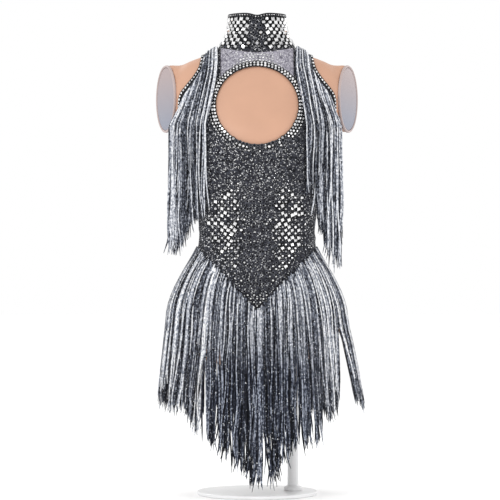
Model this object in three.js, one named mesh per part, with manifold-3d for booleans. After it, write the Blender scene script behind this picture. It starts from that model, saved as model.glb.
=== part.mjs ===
// Rhinestone tassel bodysuit on a limbless dress form, in millimetres, +Z up, front towards -Y.
// The floor is z = 0 and the stand's base is centred on the origin.
import * as THREE from 'three';
import { mergeVertices } from 'three/addons/utils/BufferGeometryUtils.js';
import Module from 'manifold-3d';

const wasm = await Module();
wasm.setup();

// Driving dimensions
const CLOTH = 1.4; // glitter knit
const EASE = 1.0; // air between the form and the cloth
const SEAM = 0.3; // gap kept between pieces
const TAPE = 1.2; // thickness of the bindings
const STRIP = 2.0; // thickness of the tape that carries a fringe
const CROTCH_Z = 250;
const HIP_Z = 340;
const NECK_TOP_Z = 938;
const COLLAR_TOP_Z = 958;
const REACH = 260; // cutters run this far out of the body
const KEYHOLE = { z: 772, half: 81, rise: 78, border: 9 };
const COLLAR_DIP = { deep: 4.5, half: 13 }; // the collar's top edge dips in front
const COLLAR_TAPE = 7;
const YOKE_HALF = 72; // the yoke runs this far to each side above the keyhole
const COLLAR_SEAM = { front: 879, side: 892, half: 79 };
const HIP_LINE = { side: 488, frontDrop: 122, backDrop: 62, half: 118 };
const GUSSET_Z = 268;
const CUT_LENGTH = 318; // length of a fringe strand
const FLATNESS = 0.12; // how far a facet may stray

// Sections of the form from the hip up: half width, depth in front of and behind the side
// seam, and how square the section is (2 is an ellipse).
const SECTIONS = [
  { z: 340, half: 167, front: 104, back: 122, square: 2.0 },
  { z: 372, half: 164, front: 104, back: 118, square: 2.0 },
  { z: 404, half: 154, front: 101, back: 110, square: 2.05 },
  { z: 436, half: 139, front: 97, back: 98, square: 2.1 },
  { z: 472, half: 121, front: 92, back: 87, square: 2.15 },
  { z: 518, half: 113, front: 88, back: 79, square: 2.2 },
  { z: 560, half: 117, front: 94, back: 81, square: 2.2 },
  { z: 600, half: 124, front: 104, back: 85, square: 2.25 },
  { z: 645, half: 132, front: 121, back: 90, square: 2.3 },
  { z: 690, half: 140, front: 130, back: 94, square: 2.35 },
  { z: 722, half: 146, front: 126, back: 96, square: 2.4 },
  { z: 752, half: 161, front: 112, back: 95, square: 2.5 },
  { z: 784, half: 171, front: 96, back: 91, square: 2.55 },
  { z: 815, half: 173, front: 82, back: 84, square: 2.55 },
  { z: 840, half: 165, front: 70, back: 75, square: 2.5 },
  { z: 857, half: 149, front: 62, back: 67, square: 2.4 },
  { z: 868, half: 126, front: 57, back: 61, square: 2.3 },
  { z: 877, half: 99, front: 54, back: 57, square: 2.2 },
  { z: 887, half: 79, front: 53, back: 55, square: 2.1 },
  { z: 903, half: 67, front: 52, back: 54, square: 2.05 },
  { z: 928, half: 57, front: 51, back: 53, square: 2.0 },
  { z: 970, half: 53, front: 51, back: 52, square: 2.0 },
];
const AROUND = 28; // facets round the body
const DOME_ROWS = 4; // rows from the hip down to the crotch

// The armhole's edge seen from the front, from the shoulder down to the underarm.
const ARMHOLE = [
  { x: 111, z: 905 }, { x: 111, z: 872 }, { x: 116, z: 850 }, { x: 127, z: 831 },
  { x: 143, z: 811 }, { x: 153, z: 797 }, { x: 156, z: 780 }, { x: 155, z: 756 },
  { x: 151.5, z: 737 }, { x: 148, z: 725 }, { x: 146.2, z: 717 }, { x: 146.4, z: 712 },
  { x: 150, z: 710 },
];
// The leg's edge seen from the front, from the crotch out to the side.
const LEG = [
  { x: 33, z: 258 }, { x: 40, z: 270 }, { x: 62, z: 289 }, { x: 100, z: 315 },
  { x: 140, z: 340 }, { x: 175, z: 354 },
];
// Where the shoulder fringe is sewn, from the neck out and down beside the armhole.
const SHOULDER_LINE = [
  { x: 82, z: 877 }, { x: 92, z: 871 }, { x: 100, z: 861 }, { x: 105, z: 846 },
  { x: 114, z: 831 }, { x: 126, z: 815 }, { x: 136, z: 802 }, { x: 143, z: 790 },
];

const clamp = (value, low, high) => Math.min(high, Math.max(low, value));
const mix = THREE.MathUtils.lerp;
const radians = THREE.MathUtils.degToRad;

// A column of the table at a height, on a smooth curve through its rows.
function atHeight(column, z) {
  const last = SECTIONS.length - 1;
  let i = 0;
  while (i < last - 1 && SECTIONS[i + 1].z <= z) i += 1;
  const [a, b, c, d] = [Math.max(i - 1, 0), i, i + 1, Math.min(i + 2, last)].map((k) => SECTIONS[k]);
  const span = c.z - b.z;
  const t = clamp((z - b.z) / span, 0, 1);
  const slopeIn = ((c[column] - a[column]) / (c.z - a.z)) * span;
  const slopeOut = ((d[column] - b[column]) / (d.z - b.z)) * span;
  return (2 * t ** 3 - 3 * t ** 2 + 1) * b[column] + (t ** 3 - 2 * t ** 2 + t) * slopeIn
    + (3 * t ** 2 - 2 * t ** 3) * c[column] + (t ** 3 - t ** 2) * slopeOut;
}

// A point of the form's surface. station is millimetres above the hip line, or below it the
// angle in degrees down to the crotch. turn is 0 in front, 90 at the +X side and 180 behind.
function bodyPoint(station, turn) {
  const z = HIP_Z + Math.max(station, 0);
  const dip = radians(Math.max(-station, 0));
  const angle = radians(turn);
  const power = 2 / atHeight('square', z);
  const across = Math.sign(Math.sin(angle)) * Math.abs(Math.sin(angle)) ** power;
  const along = Math.sign(Math.cos(angle)) * Math.abs(Math.cos(angle)) ** power;
  const depth = atHeight(along > 0 ? 'front' : 'back', z);
  return new THREE.Vector3(
    across * atHeight('half', z) * Math.cos(dip),
    -along * depth * Math.cos(dip),
    z - (HIP_Z - CROTCH_Z) * Math.sin(dip),
  );
}

function bodyNormal(station, turn) {
  const round = bodyPoint(station, turn + 1).sub(bodyPoint(station, turn - 1));
  const up = bodyPoint(station + 1, turn).sub(bodyPoint(station - 1, turn));
  return round.cross(up).normalize();
}

// A point that lies this far outside the form.
function skin(station, turn, lift) {
  return bodyPoint(station, turn).addScaledVector(bodyNormal(station, turn), lift);
}

// How far the form's surface is in front of or behind the side seam, seen at x and z.
function depthAt(x, z, column) {
  const share = clamp(Math.abs(x) / atHeight('half', z), 0, 1);
  const square = atHeight('square', z);
  return atHeight(column, z) * (1 - share ** square) ** (1 / square);
}

// A geometry from shared points and triangles.
function geometryOf(points, faces) {
  const geometry = new THREE.BufferGeometry();
  geometry.setAttribute('position', new THREE.Float32BufferAttribute(points.flatMap((p) => [p.x, p.y, p.z]), 3));
  geometry.setIndex(faces.flat());
  return geometry;
}

function solidOf(geometry) {
  const bare = geometry.clone();
  bare.deleteAttribute('normal');
  bare.deleteAttribute('uv');
  const merged = mergeVertices(bare, 1e-4);
  const mesh = new wasm.Mesh({
    numProp: 3,
    vertProperties: new Float32Array(merged.attributes.position.array),
    triVerts: new Uint32Array(merged.index.array),
  });
  return new wasm.Manifold(mesh);
}

// A cut or joined solid as a geometry, without the points that its shape doesn't need.
function geometryFrom(solid) {
  const mesh = solid.simplify(FLATNESS).getMesh();
  const geometry = new THREE.BufferGeometry();
  geometry.setAttribute('position', new THREE.BufferAttribute(new Float32Array(mesh.vertProperties), 3));
  geometry.setIndex(new THREE.BufferAttribute(new Uint32Array(mesh.triVerts), 1));
  return mergeVertices(geometry, 2e-3);
}

// A closed body through rings of points, each ring seen from above going round the same way.
function ringBody(rings, first, last) {
  const count = rings[0].length;
  const points = [...rings.flat(), first, last];
  const faces = [];
  for (let row = 0; row < rings.length - 1; row += 1) {
    for (let i = 0; i < count; i += 1) {
      const [a, b] = [row * count + i, row * count + ((i + 1) % count)];
      faces.push([a, b, b + count], [a, b + count, a + count]);
    }
  }
  const top = (rings.length - 1) * count;
  for (let i = 0; i < count; i += 1) {
    const next = (i + 1) % count;
    faces.push([next, i, points.length - 2], [top + i, top + next, points.length - 1]);
  }
  return geometryOf(points, faces);
}

// The whole body from the crotch to a height, this far outside the form.
function bodySolid(lift, topZ) {
  const stations = [];
  for (let row = 1; row <= DOME_ROWS; row += 1) stations.push(-90 + (90 * row) / (DOME_ROWS + 1));
  SECTIONS.filter((row) => row.z < topZ - 4).forEach((row) => stations.push(row.z - HIP_Z));
  stations.push(topZ - HIP_Z);
  const rings = stations.map((station) => Array.from(
    { length: AROUND },
    (_, i) => skin(station, (360 * i) / AROUND, lift),
  ));
  const low = new THREE.Vector3(0, 0, CROTCH_Z - lift);
  const high = new THREE.Vector3(0, 0, rings[rings.length - 1][0].z);
  rings[rings.length - 1].forEach((point) => { point.z = high.z; });
  return solidOf(ringBody(rings, low, high));
}

// A prism right through the body along Y, from an outline in x and z.
function through(outline, nearY = -REACH, farY = REACH) {
  const shape = new THREE.Shape(outline.map(({ x, z }) => new THREE.Vector2(x, z)));
  const geometry = new THREE.ExtrudeGeometry(shape, { depth: farY - nearY, bevelEnabled: false, curveSegments: 1 });
  geometry.rotateX(Math.PI / 2);
  geometry.translate(0, farY, 0);
  return solidOf(geometry);
}

const mirrored = (outline) => outline.map(({ x, z }) => ({ x: -x, z })).reverse();
const moved = (outline, dx, dz) => outline.map(({ x, z }) => ({ x: x + dx, z: z + dz }));
const ellipse = ({ z, half, rise }, extra, count) => Array.from({ length: count }, (_, i) => {
  const angle = (2 * Math.PI * i) / count;
  return { x: (half + extra) * Math.cos(angle), z: z + (rise + extra) * Math.sin(angle) };
});
const boxOutline = (x0, x1, z0, z1) => [{ x: x0, z: z0 }, { x: x1, z: z0 }, { x: x1, z: z1 }, { x: x0, z: z1 }];

// A smooth outline through a table's rows.
function smooth(rows, steps) {
  const curve = new THREE.CatmullRomCurve3(rows.map(({ x, z }) => new THREE.Vector3(x, 0, z)), false, 'centripetal');
  return curve.getSpacedPoints(steps).map(({ x, z }) => ({ x, z }));
}

// Cutters
const armholeEdge = smooth(ARMHOLE, 14);
const armholeOutline = (inwards) => [
  ...moved(armholeEdge, -inwards, -inwards * 0.75),
  { x: REACH, z: ARMHOLE[ARMHOLE.length - 1].z - inwards * 0.75 },
  { x: REACH, z: ARMHOLE[0].z },
];
const legEdge = smooth(LEG, 6);
const legOutline = (inwards) => [
  { x: LEG[0].x - inwards, z: CROTCH_Z - 30 },
  ...moved(legEdge, -inwards, inwards * 0.6),
  { x: REACH, z: LEG[LEG.length - 1].z + inwards * 0.6 },
  { x: REACH, z: CROTCH_Z - 30 },
];
const bothSides = (outline) => through(outline).add(through(mirrored(outline)));
const collarSeam = (gap) => Array.from({ length: 15 }, (_, i) => {
  const x = mix(-98, 98, i / 14);
  const rise = (COLLAR_SEAM.side - COLLAR_SEAM.front) * (Math.abs(x) / COLLAR_SEAM.half) ** 1.6;
  return { x, z: COLLAR_SEAM.front + rise + gap };
});
const collarTopZ = (x) => COLLAR_TOP_Z - COLLAR_DIP.deep * Math.exp(-((x / COLLAR_DIP.half) ** 2));
const aboveCollarTop = (drop) => through([
  ...Array.from({ length: 13 }, (_, i) => mix(-26, 26, i / 12)).map((x) => ({ x, z: collarTopZ(x) - drop })),
  { x: 26, z: 1000 },
  { x: -26, z: 1000 },
], -REACH, 0);
const aboveCollar = (gap) => through([...collarSeam(gap), { x: 98, z: 1000 }, { x: -98, z: 1000 }]);
const slab = (x0, x1, y0, y1, z0, z1) => through(boxOutline(x0, x1, z0, z1), y0, y1);

const armholes = bothSides(armholeOutline(0));
const legs = bothSides(legOutline(0));
const keyhole = through(ellipse(KEYHOLE, 0, 32), -REACH, 0);
const outOfCloth = EASE + CLOTH;
const wall = bodySolid(outOfCloth, COLLAR_TOP_Z).subtract(bodySolid(EASE, COLLAR_TOP_Z + 6));
const tapeWall = bodySolid(outOfCloth + SEAM + TAPE, COLLAR_TOP_Z).subtract(bodySolid(outOfCloth + SEAM, COLLAR_TOP_Z + 6));
const frontHalf = slab(-REACH, REACH, -REACH, -SEAM / 2, 0, 1000);
const backSlit = slab(-SEAM, SEAM, 0, REACH, 0, 1000);
const aboveGusset = slab(-REACH, REACH, -REACH, REACH, GUSSET_Z + SEAM / 2, 1000);
const belowGusset = slab(-REACH, REACH, -REACH, REACH, 0, GUSSET_Z - SEAM / 2);

// Garment panels
const trunk = wall.subtract(armholes).subtract(legs).subtract(aboveCollar(-SEAM)).intersect(aboveGusset);
const frontWhole = trunk.intersect(frontHalf).subtract(keyhole);
const yokeZone = (gap) => slab(-YOKE_HALF - gap, YOKE_HALF + gap, -REACH, 0, KEYHOLE.z, 1000);
const yokePanel = frontWhole.intersect(yokeZone(-SEAM / 2));
const frontPanel = frontWhole.subtract(yokeZone(SEAM / 2));
const backPanel = (side) => trunk.intersect(through(
  side > 0 ? boxOutline(SEAM, REACH, 0, 1000) : boxOutline(-REACH, -SEAM, 0, 1000),
  SEAM / 2,
));
const gussetPanel = wall.subtract(legs).intersect(belowGusset);
const collarBand = wall.intersect(aboveCollar(0)).subtract(backSlit).subtract(aboveCollarTop(0));

// Bindings
const collarEdge = tapeWall
  .intersect(slab(-REACH, REACH, -REACH, REACH, COLLAR_TOP_Z - COLLAR_TAPE, 1000).add(aboveCollarTop(COLLAR_TAPE)))
  .subtract(aboveCollarTop(0))
  .subtract(backSlit);
const keyholeRing = tapeWall.intersect(through(ellipse(KEYHOLE, KEYHOLE.border, 32), -REACH, -1)).subtract(keyhole);
const side = (sign) => (sign > 0 ? slab(0, REACH, -REACH, REACH, 0, 1000) : slab(-REACH, 0, -REACH, REACH, 0, 1000));
const armholeTape = (sign) => tapeWall
  .intersect(bothSides(armholeOutline(8)).subtract(armholes))
  .subtract(aboveCollar(-SEAM))
  .intersect(side(sign));
const legTape = (sign) => tapeWall.intersect(bothSides(legOutline(7)).subtract(legs)).intersect(side(sign));

// Fringe: a comb in one body. Each root is a quad in the tape's lower edge, and the strand
// grows out of it through its own rings to a point.
function comb(stations, strandRings) {
  const points = [];
  const faces = [];
  const quad = (a, b, c, d) => faces.push([a, b, c], [a, c, d]);
  stations.forEach(({ top, low, out }) => {
    points.push(
      low,
      low.clone().addScaledVector(out, STRIP),
      top.clone().addScaledVector(out, STRIP),
      top,
    );
  });
  const LOW_IN = 0;
  const LOW_OUT = 1;
  const TOP_OUT = 2;
  const TOP_IN = 3;
  for (let i = 0; i < stations.length - 1; i += 1) {
    const [here, next] = [4 * i, 4 * (i + 1)];
    quad(here + LOW_OUT, next + LOW_OUT, next + TOP_OUT, here + TOP_OUT);
    quad(here + TOP_OUT, next + TOP_OUT, next + TOP_IN, here + TOP_IN);
    quad(here + TOP_IN, next + TOP_IN, next + LOW_IN, here + LOW_IN);
    let ring = [here + LOW_IN, next + LOW_IN, next + LOW_OUT, here + LOW_OUT];
    if (i % 2 === 1) {
      quad(...ring);
      continue;
    }
    const { rings, tip } = strandRings((i / 2));
    rings.forEach((corners) => {
      const lower = corners.map((corner) => points.push(corner) - 1);
      for (let k = 0; k < 4; k += 1) {
        const m = (k + 1) % 4;
        quad(ring[k], ring[m], lower[m], lower[k]);
      }
      ring = lower;
    });
    const end = points.push(tip) - 1;
    for (let k = 0; k < 4; k += 1) faces.push([ring[k], ring[(k + 1) % 4], end]);
  }
  const last = 4 * (stations.length - 1);
  quad(LOW_IN, LOW_OUT, TOP_OUT, TOP_IN);
  quad(last + LOW_IN, last + TOP_IN, last + TOP_OUT, last + LOW_OUT);
  return geometryOf(points, faces);
}

// Four corners of a strand at a place: start and end side, inside and outside.
function corners(at, along, out, wide, deep) {
  const corner = (a, b) => at.clone().addScaledVector(along, a * wide).addScaledVector(out, b * deep);
  return [corner(-0.5, -0.5), corner(0.5, -0.5), corner(0.5, 0.5), corner(-0.5, 0.5)];
}

const uneven = (i, size) => size * (0.6 * Math.sin(i * 2.4) + 0.4 * Math.sin(i * 5.3 + 1));

// Hip fringe
const HIP_STRAND = { wide: 9, deep: 4, flareX: 0.2, flareY: 0.05, tall: 8, lift: outOfCloth + SEAM + 1.2 };
const HIP_LEVELS = [ // how far the strands' middle stands off the form on its way over the hip
  { z: 440, lift: 8.5 }, { z: 395, lift: 11 }, { z: 345, lift: 12.5 },
];
const hipLineZ = (turn, drop) => {
  let z = HIP_LINE.side;
  for (let pass = 0; pass < 14; pass += 1) {
    const share = clamp(Math.abs(bodyPoint(z - HIP_Z, turn).x) / HIP_LINE.half, 0, 1);
    z = HIP_LINE.side - drop * (1 - share);
  }
  return z;
};
// Where each strand's root starts and ends along its tape, from 0 to 1.
const ROOT_FILL = 0.74;
const rootShares = (strands) => Array.from({ length: 2 * strands }, (_, i) => (
  (Math.floor(i / 2) + (i % 2) * ROOT_FILL) / (strands - 1 + ROOT_FILL)
));
// Turns that part a section of the hip into even lengths of cloth.
function evenTurns(from, to, shares) {
  const samples = Array.from({ length: 241 }, (_, i) => mix(from, to, i / 240));
  const runs = [0];
  for (let i = 1; i < samples.length; i += 1) {
    runs.push(runs[i - 1] + bodyPoint(0, samples[i]).distanceTo(bodyPoint(0, samples[i - 1])));
  }
  const total = runs[runs.length - 1];
  return shares.map((share) => {
    const wanted = total * share;
    const k = clamp(runs.findIndex((run) => run >= wanted), 1, samples.length - 1);
    return mix(samples[k - 1], samples[k], (wanted - runs[k - 1]) / (runs[k] - runs[k - 1]));
  });
}
function hipFringe(fromTurn, toTurn, drop, strands, tipZ) {
  const turns = evenTurns(fromTurn, toTurn, rootShares(strands));
  const stations = turns.map((turn) => {
    const station = hipLineZ(turn, drop) - HIP_Z;
    return {
      top: skin(station, turn, HIP_STRAND.lift),
      low: skin(station - HIP_STRAND.tall, turn, HIP_STRAND.lift),
      out: bodyNormal(station, turn),
    };
  });
  return comb(stations, (i) => {
    const turn = (turns[2 * i] + turns[2 * i + 1]) / 2;
    const rootZ = hipLineZ(turn, drop) - HIP_STRAND.tall;
    const out = bodyNormal(0, turn);
    const along = new THREE.Vector3(-out.y, out.x, 0).normalize();
    const rings = HIP_LEVELS.filter(({ z }) => z < rootZ - 14).map(({ z, lift }) => {
      const at = skin(z - HIP_Z, turn, lift + uneven(i, 0.8));
      return corners(at, along, out, HIP_STRAND.wide * mix(0.9, 1, clamp((rootZ - z) / 150, 0, 1)), HIP_STRAND.deep);
    });
    const hip = skin(0, turn, HIP_LEVELS[2].lift);
    const hang = (z) => {
      const fall = (HIP_Z - z) / HIP_Z;
      return new THREE.Vector3(hip.x * (1 + HIP_STRAND.flareX * fall), hip.y * (1 + HIP_STRAND.flareY * fall), z);
    };
    const end = Math.max(tipZ(hang(120).x, rootZ) + uneven(i, 13), 17);
    const low = hang(mix(HIP_Z, end, 0.62));
    rings.push(corners(low, along, out, HIP_STRAND.wide * 0.95, HIP_STRAND.deep));
    return { rings, tip: hang(end) };
  });
}
const frontTip = (x) => 22 + 168 * (Math.abs(x) / 190) ** 0.85;
const backTip = (x, rootZ) => rootZ - CUT_LENGTH - 6;

// Shoulder fringe
const SHOULDER = {
  strands: 12, wide: 5.2, deep: 3.2, tall: 6,
  hangIn: 101, hangOut: 177, clearFront: 66, clearBack: 76, stand: 15,
};
const SHOULDER_LEVELS = [850, 822, 783, 760, 734, 690];
function shoulderFringe(sign, column, tipIn, tipOut) {
  const facing = column === 'front' ? -1 : 1;
  const leastDepth = column === 'front' ? SHOULDER.clearFront : SHOULDER.clearBack;
  const lift = outOfCloth + SEAM + TAPE + SEAM;
  const curve = new THREE.CatmullRomCurve3(SHOULDER_LINE.map(({ x, z }) => new THREE.Vector3(x, 0, z)));
  const dense = curve.getSpacedPoints(200);
  const atX = (x) => dense.reduce((best, p) => (Math.abs(p.x - x) < Math.abs(best.x - x) ? p : best));
  const first = SHOULDER_LINE[0].x;
  const final = SHOULDER_LINE[SHOULDER_LINE.length - 1].x;
  const count = 2 * SHOULDER.strands;
  const surface = (x, z) => new THREE.Vector3(sign * x, facing * depthAt(x, z, column), z);
  const outwards = (x, z) => {
    const round = surface(x + 1, z).sub(surface(x - 1, z));
    const up = surface(x, z + 1).sub(surface(x, z - 1));
    const normal = round.cross(up).normalize();
    return normal.y * facing < 0 ? normal.negate() : normal;
  };
  const stations = Array.from({ length: count }, (_, i) => {
    const share = rootShares(SHOULDER.strands)[i];
    const { x, z } = atX(mix(first, final, share));
    const out = outwards(x, z);
    const next = atX(mix(first, final, clamp(share + 0.04, 0, 1)));
    const before = atX(mix(first, final, clamp(share - 0.04, 0, 1)));
    const ahead = surface(next.x, next.z).sub(surface(before.x, before.z)).normalize();
    const down = ahead.cross(out).normalize();
    const top = surface(x, z).addScaledVector(out, lift);
    const low = top.clone().addScaledVector(down, down.z > 0 ? -SHOULDER.tall : SHOULDER.tall);
    return { top, low, out, x, z };
  });
  const run = sign * facing < 0 ? stations : [...stations].reverse();
  return comb(run, (i) => {
    const [a, b] = [run[2 * i], run[2 * i + 1]];
    const rootX = (a.x + b.x) / 2;
    const rootZ = (a.z + b.z) / 2 - SHOULDER.tall;
    const share = (rootX - first) / (final - first);
    const hangX = mix(SHOULDER.hangIn, SHOULDER.hangOut, share);
    const along = new THREE.Vector3(-facing, 0, 0);
    const out = new THREE.Vector3(0, facing, 0);
    const fan = (z) => THREE.MathUtils.smoothstep(-z, -783, -735);
    const place = (z) => {
      const x = mix(rootX + 1.5, hangX, fan(z));
      const least = mix(0, leastDepth, THREE.MathUtils.smoothstep(-z, -800, -755));
      return new THREE.Vector3(sign * x, facing * Math.max(depthAt(x, z, column) + SHOULDER.stand, least), z);
    };
    const levels = SHOULDER_LEVELS.filter((z) => z < rootZ - 10);
    const rings = levels.map((z) => {
      const wide = mix(3.6, SHOULDER.wide, fan(z));
      return corners(place(z), along, out, wide, SHOULDER.deep);
    });
    const hang = place(690);
    const end = mix(tipIn, tipOut, share) + uneven(i + 3, 12);
    rings.push(corners(hang.clone().setZ(mix(690, end, 0.6)), along, out, SHOULDER.wide, SHOULDER.deep));
    return { rings, tip: hang.clone().setZ(end) };
  });
}

// Dress form: the trunk with two short shoulder stubs, each cut square for its cap.
const ARM = { x: 180, z: 790, y: 4, rise: 67, deep: 51, yaw: 23, cap: 3, rim: 4 };
const STUB = [
  { x: 112, y: 2, z: 794, rise: 58, deep: 34, yaw: 0 },
  { x: 140, y: 2, z: 794, rise: 63, deep: 38, yaw: 6 },
  { x: 164, y: 2, z: 792, rise: 66, deep: 46, yaw: 15 },
  { ...ARM },
];
function stubRing({ x, y, z, rise, deep, yaw }, sign, count) {
  return Array.from({ length: count }, (_, i) => {
    const angle = (2 * Math.PI * i) / count;
    const across = deep * Math.cos(angle);
    return new THREE.Vector3(
      sign * (x + across * Math.sin(radians(yaw))),
      y + across * Math.cos(radians(yaw)),
      z + rise * Math.sin(angle),
    );
  });
}
function stubSolid(sign) {
  const rows = sign > 0 ? STUB : [...STUB].reverse();
  const rings = rows.map((row) => stubRing(row, sign, 24));
  const middle = (row) => new THREE.Vector3(sign * row.x, row.y, row.z);
  return solidOf(ringBody(rings, middle(rows[0]), middle(rows[rows.length - 1])));
}
// Everything beyond the plane of a cap, which the trunk is trimmed to.
function beyondCap(sign) {
  const [thick, long, tall] = [60, 124, 200];
  const geometry = new THREE.BoxGeometry(thick, long, tall).toNonIndexed();
  geometry.translate(sign * thick / 2, 0, 0);
  geometry.rotateZ(sign * radians(-ARM.yaw));
  geometry.translate(sign * ARM.x, ARM.y, ARM.z);
  return solidOf(geometry);
}
const formTrunk = bodySolid(0, NECK_TOP_Z)
  .add(stubSolid(1))
  .add(stubSolid(-1))
  .subtract(beyondCap(1))
  .subtract(beyondCap(-1));

// A flat oval plate or ring on the end of a shoulder stub.
function armPlate(sign, outer, inner, start, thick) {
  const shape = new THREE.Shape();
  shape.absellipse(0, 0, ARM.deep + outer, ARM.rise + outer, 0, 2 * Math.PI);
  if (inner !== null) {
    const hole = new THREE.Path();
    hole.absellipse(0, 0, ARM.deep + inner, ARM.rise + inner, 0, 2 * Math.PI);
    shape.holes.push(hole);
  }
  const geometry = new THREE.ExtrudeGeometry(shape, { depth: thick, bevelEnabled: false, curveSegments: 14 });
  geometry.translate(0, 0, start);
  geometry.rotateX(Math.PI / 2);
  geometry.rotateZ(sign > 0 ? Math.PI / 2 : -Math.PI / 2);
  geometry.rotateZ(sign * radians(-ARM.yaw));
  geometry.translate(sign * ARM.x, ARM.y, ARM.z);
  return geometry;
}

// Stand
const BASE = { radius: 120, thick: 7, edge: 1.5 };
const POLE = { x: 72, y: 8, radius: 11 };
const SOCKET = { radius: 20, z: 232, top: 290 };
const lathe = (rows, segments) => {
  const geometry = new THREE.LatheGeometry(rows.map(([r, z]) => new THREE.Vector2(r, z)), segments);
  geometry.rotateX(Math.PI / 2);
  return geometry;
};
const baseGeometry = lathe([
  [0, 0], [BASE.radius - BASE.edge, 0], [BASE.radius, BASE.edge], [BASE.radius, BASE.thick - BASE.edge],
  [BASE.radius - BASE.edge, BASE.thick], [0, BASE.thick],
], 36);
const poleGeometry = lathe([
  [0, BASE.thick + SEAM], [POLE.radius + 7, BASE.thick + SEAM], [POLE.radius + 7, BASE.thick + 8],
  [POLE.radius, BASE.thick + 12], [POLE.radius, SOCKET.z - SEAM], [0, SOCKET.z - SEAM],
], 20).translate(POLE.x, POLE.y, 0);
const socketSolid = solidOf(lathe([
  [0, SOCKET.z], [SOCKET.radius, SOCKET.z], [SOCKET.radius, SOCKET.top], [0, SOCKET.top],
], 24).translate(POLE.x, POLE.y, 0)).subtract(bodySolid(SEAM, NECK_TOP_Z));
const neckCap = lathe([
  [0, NECK_TOP_Z + SEAM], [45, NECK_TOP_Z + SEAM], [45, NECK_TOP_Z + 2.5], [42, NECK_TOP_Z + 4], [0, NECK_TOP_Z + 4],
], 24);

// Finishes
const finish = (color, roughness, metalness) => ({ color, roughness, metalness });
const KNIT = finish('#5b5c63', 0.45, 0.3);
const MESH = finish('#8d8791', 0.45, 0.3);
const TRIM = finish('#3d3e45', 0.4, 0.4);
const SILVER_FRINGE = finish('#8b8f99', 0.4, 0.2);
const DARK_FRINGE = finish('#6d717d', 0.4, 0.2);
const FLESH = finish('#dcae94', 0.6, 0);
const MAUVE = finish('#b9adb1', 0.6, 0);
const RIM = finish('#d8c9bc', 0.6, 0);
const WHITE_STEEL = finish('#e9e9ea', 0.35, 0.1);

const whole = new THREE.Group();
function put(name, shape, look) {
  const geometry = shape.isBufferGeometry ? shape : geometryFrom(shape);
  const mesh = new THREE.Mesh(geometry, new THREE.MeshStandardMaterial(look));
  mesh.name = name;
  whole.add(mesh);
}

put('front', frontPanel, KNIT);
put('yoke', yokePanel, MESH);
put('back_left', backPanel(-1), KNIT);
put('back_right', backPanel(1), KNIT);
put('gusset', gussetPanel, KNIT);
put('collar', collarBand, KNIT);
put('collar_binding', collarEdge, TRIM);
put('keyhole_binding', keyholeRing, TRIM);
put('armhole_binding_left', armholeTape(-1), TRIM);
put('armhole_binding_right', armholeTape(1), TRIM);
put('leg_binding_left', legTape(-1), TRIM);
put('leg_binding_right', legTape(1), TRIM);
put('shoulder_fringe_front_left', shoulderFringe(-1, 'front', 566, 486), SILVER_FRINGE);
put('shoulder_fringe_front_right', shoulderFringe(1, 'front', 590, 462), SILVER_FRINGE);
put('shoulder_fringe_back_left', shoulderFringe(-1, 'back', 572, 476), SILVER_FRINGE);
put('shoulder_fringe_back_right', shoulderFringe(1, 'back', 572, 476), SILVER_FRINGE);
put('hip_fringe_front', hipFringe(-89.4, 89.4, HIP_LINE.frontDrop, 42, frontTip), DARK_FRINGE);
put('hip_fringe_back', hipFringe(90.6, 269.4, HIP_LINE.backDrop, 39, backTip), DARK_FRINGE);
put('form_torso', formTrunk, FLESH);
put('form_neck_cap', neckCap, MAUVE);
for (const [name, sign] of [['left', -1], ['right', 1]]) {
  put(`form_arm_cap_${name}`, armPlate(sign, -ARM.rim - SEAM, null, SEAM, ARM.cap), MAUVE);
  put(`form_arm_rim_${name}`, armPlate(sign, 0.5, -ARM.rim, SEAM, ARM.cap + 1), RIM);
}
put('stand_socket', socketSolid, WHITE_STEEL);
put('stand_pole', poleGeometry, WHITE_STEEL);
put('stand_base', baseGeometry, WHITE_STEEL);

export default whole;
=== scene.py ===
import math

import bpy
import numpy as np
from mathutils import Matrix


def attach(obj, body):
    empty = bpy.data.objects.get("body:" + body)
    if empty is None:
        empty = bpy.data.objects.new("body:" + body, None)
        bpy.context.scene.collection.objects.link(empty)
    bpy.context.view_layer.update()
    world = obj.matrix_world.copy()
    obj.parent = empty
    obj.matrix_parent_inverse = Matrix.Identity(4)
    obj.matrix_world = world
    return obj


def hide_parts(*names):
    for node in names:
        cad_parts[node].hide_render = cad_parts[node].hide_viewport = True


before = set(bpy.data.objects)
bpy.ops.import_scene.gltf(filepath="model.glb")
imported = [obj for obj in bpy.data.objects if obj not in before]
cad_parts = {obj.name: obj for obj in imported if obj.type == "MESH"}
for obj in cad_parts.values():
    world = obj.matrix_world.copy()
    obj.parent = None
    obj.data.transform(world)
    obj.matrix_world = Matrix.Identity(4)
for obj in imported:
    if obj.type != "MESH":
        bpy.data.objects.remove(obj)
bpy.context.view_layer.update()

MM = 0.001


def table(names, *rows):
    """Rows with named columns."""
    return [dict(zip(names.split(), row)) for row in rows]


# --- sizes ---

CLOTH = 1.4 * MM  # the glitter knit
EASE = 1.0 * MM  # air between the form and the cloth
SEAM = 0.3 * MM  # gap between pieces
TAPE = 1.2 * MM  # elastic tape of the bindings
OUT = EASE + CLOTH  # the cloth's outer face, from the form
ON_TAPE = OUT + SEAM + TAPE  # the tape's outer face
CROTCH_Z, HIP_Z, NECK_Z, COLLAR_Z = 0.250, 0.340, 0.938, 0.958
KEYHOLE = {"z": 0.772, "half": 0.081, "rise": 0.078, "border": 0.009}
COLLAR_SEAM = {"front": 0.879, "side": 0.892, "half": 0.079, "power": 1.6}
HIP_LINE = {"side": 0.488, "front_drop": 0.122, "back_drop": 0.062, "half": 0.118}
COLLAR_DIP = {"deep": 0.0045, "half": 0.013}  # the collar's top edge dips in front
TAPE_WIDE = {"collar": 0.007, "armhole": 0.008, "leg": 0.007}
GUSSET_Z = 0.268
YOKE_HALF = 0.072
AROUND = 180  # facets round the body
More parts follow.
